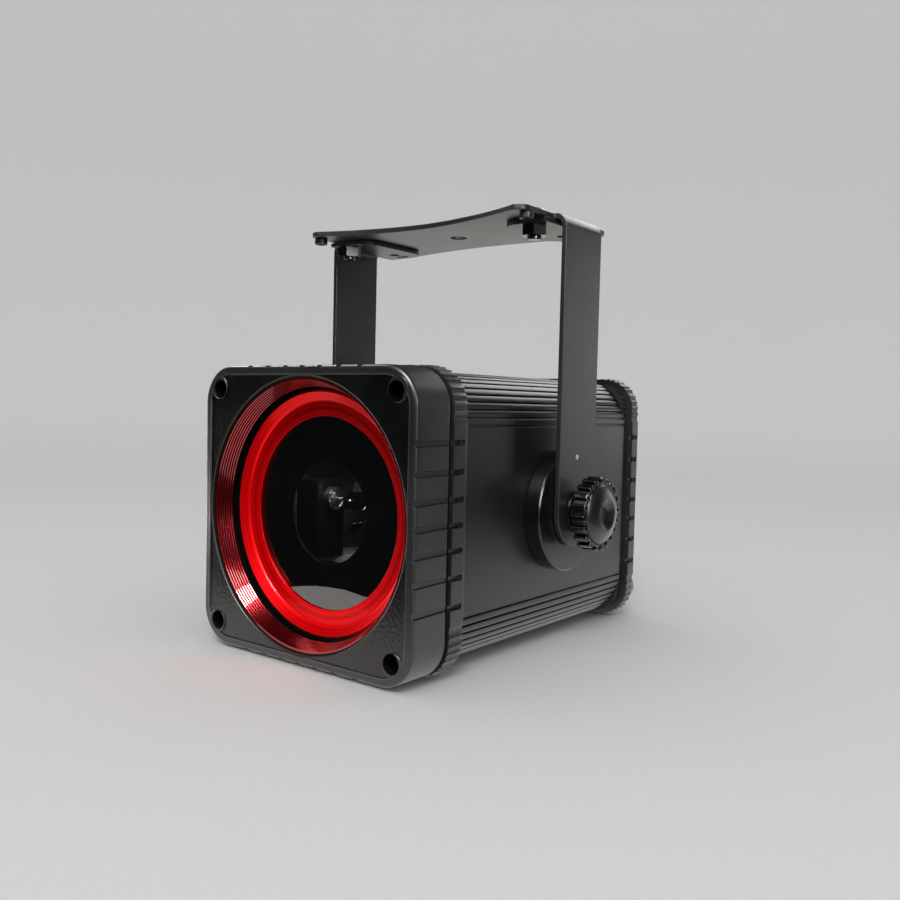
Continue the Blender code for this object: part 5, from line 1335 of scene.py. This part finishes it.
def makeStage():
    made, tree, shader = newMaterial("paleFloor")
    place = objectPlace(tree)
    away = vectorMaths(tree, "LENGTH", place)
    tone = spread(tree, noise(tree, place, 300.0, 2.0), 0.3, 0.7)
    paler = tuple(part * 1.02 for part in floor["colour"][:3]) + (1.0,)
    feed(tree, shader, Base_Color=mixColour(tree, tone, floor["colour"], paler), Roughness=floor["rough"],
         Specular_IOR_Level=0.0, Emission_Color=floor["colour"],
         Emission_Strength=spread(tree, away, floor["glowFrom"], floor["glowTo"], 0.0, floor["glow"]))
    out, curve, top = floor["flat"], floor["curve"], floor["height"]
    profile = [(0.0, 0.0), (out, 0.0)]
    for turn in quarterTurns(12)[1:]:
        profile.append((out + curve * math.sin(turn), curve - curve * math.cos(turn)))
    profile += [(out + curve, top), (out + curve + 0.1, top), (out + curve + 0.1, -0.1), (0.0, -0.1)]
    bm = spin([(radius / mm, height / mm) for radius, height in profile], Vector((0, 0, -0.0004)), zAxis, 96)
    bowl = meshFrom(bm, "paleStage", [made], 60)
    bowl.visible_glossy = bowl.visible_transmission = False
    card, tree, shader = newMaterial("tableTone")
    feed(tree, shader, Base_Color=table["colour"], Emission_Color=table["colour"], Emission_Strength=table["glow"],
         Roughness=floor["rough"])
    bm = bmesh.new()
    bm.faces.new([bm.verts.new((x, y, table["rise"])) for x, y in table["edge"]])
    sheet = meshFrom(bm, "tableTone", [card])
    sheet.visible_camera = sheet.visible_diffuse = sheet.visible_shadow = sheet.visible_transmission = False


def softLight(name, place, aim, size, power, colour, onFloor):
    data = bpy.data.lights.new(name, "AREA")
    data.shape = "RECTANGLE"
    data.size, data.size_y = size
    data.energy = power
    data.color = colour
    made = bpy.data.objects.new(name, data)
    bpy.context.scene.collection.objects.link(made)
    direction = (Vector(aim) - Vector(place)).normalized()
    made.matrix_world = Matrix.Translation(place) @ direction.to_track_quat("-Z", "Y").to_matrix().to_4x4()
    made.visible_camera = made.visible_transmission = False
    made.visible_diffuse = onFloor
    return made


# each: place, aim, size, power, colour, and whether it also lights matt surfaces such as the floor
lights = {
    "key": ((0.75, -1.10, 1.25), (0, -0.02, 0.08), (0.55, 0.55), 9.0, (1.0, 0.985, 0.96), True),
    "backPanel": ((0.60, 1.50, 0.26), (0, 0, 0.10), (0.50, 0.55), 2.4, (0.96, 0.98, 1.0), False),
    "backTop": ((-0.05, 1.45, 1.04), (0, 0, 0.12), (1.10, 0.44), 7.6, (1, 1, 1), False),
    "frontTop": ((0.17, -0.88, 1.00), (-0.03, -0.12, 0.05), (0.42, 0.42), 22.0, (1, 0.99, 0.98), False),
    "rightFront": ((1.18, -0.58, 0.50), (0.09, 0, 0.10), (0.16, 0.60), 9.0, (0.96, 0.98, 1.0), False),
    "leftTop": ((-1.05, 0.12, 0.95), (0, -0.08, 0.10), (0.35, 0.35), 9.0, (0.97, 0.99, 1.0), False),
    "overhead": ((0.25, -0.60, 1.03), (-0.045, -0.118, 0.03), (0.34, 0.20), 13.0, (1, 1, 1), False),
    "lipGlow": ((-0.37, -0.165, 0.035), (0.05, -0.123, 0.136), (0.16, 0.05), 0.35, (1.0, 0.80, 0.78), False),
    "leftRim": ((-1.40, -0.45, 0.10), (0, -0.1, 0.08), (0.20, 0.40), 0.5, (1, 1, 1), False),
}
insideLights = {
    "scannerLamp": ((-0.004, frontY + 0.034, middleZ + 0.046), (-0.010, frontY + 0.066, middleZ), (0.03, 0.012), 0.11,
                    (1.0, 0.97, 0.92), True),
    "baseLamp": ((-0.052, frontY + 0.100, middleZ + 0.005), (-0.056, frontY + 0.088, middleZ - 0.04), (0.02, 0.02),
                 0.05, (1.0, 0.98, 0.95), True),
}


# the sky lights matt surfaces far more than it shows in glossy ones
studio = {"colour": (0.97, 0.98, 1.0, 1.0), "matt": 0.75, "glossy": 0.012}


def makeWorld():
    world = bpy.data.worlds.new("studio")
    bpy.context.scene.world = world
    world.use_nodes = True
    tree = world.node_tree
    glossy = addNode(tree, "ShaderNodeLightPath").outputs["Is Glossy Ray"]
    strength = addNode(tree, "ShaderNodeMapRange", {}, Value=glossy, To_Min=studio["matt"], To_Max=studio["glossy"])
    feed(tree, tree.nodes["Background"], Color=studio["colour"], Strength=strength.outputs["Result"])


makeStage()
for name, facts in {**lights, **insideLights}.items():
    softLight(name, *facts)
makeWorld()
bpy.context.scene.view_settings.view_transform = "Standard"
print("stage and lights placed")
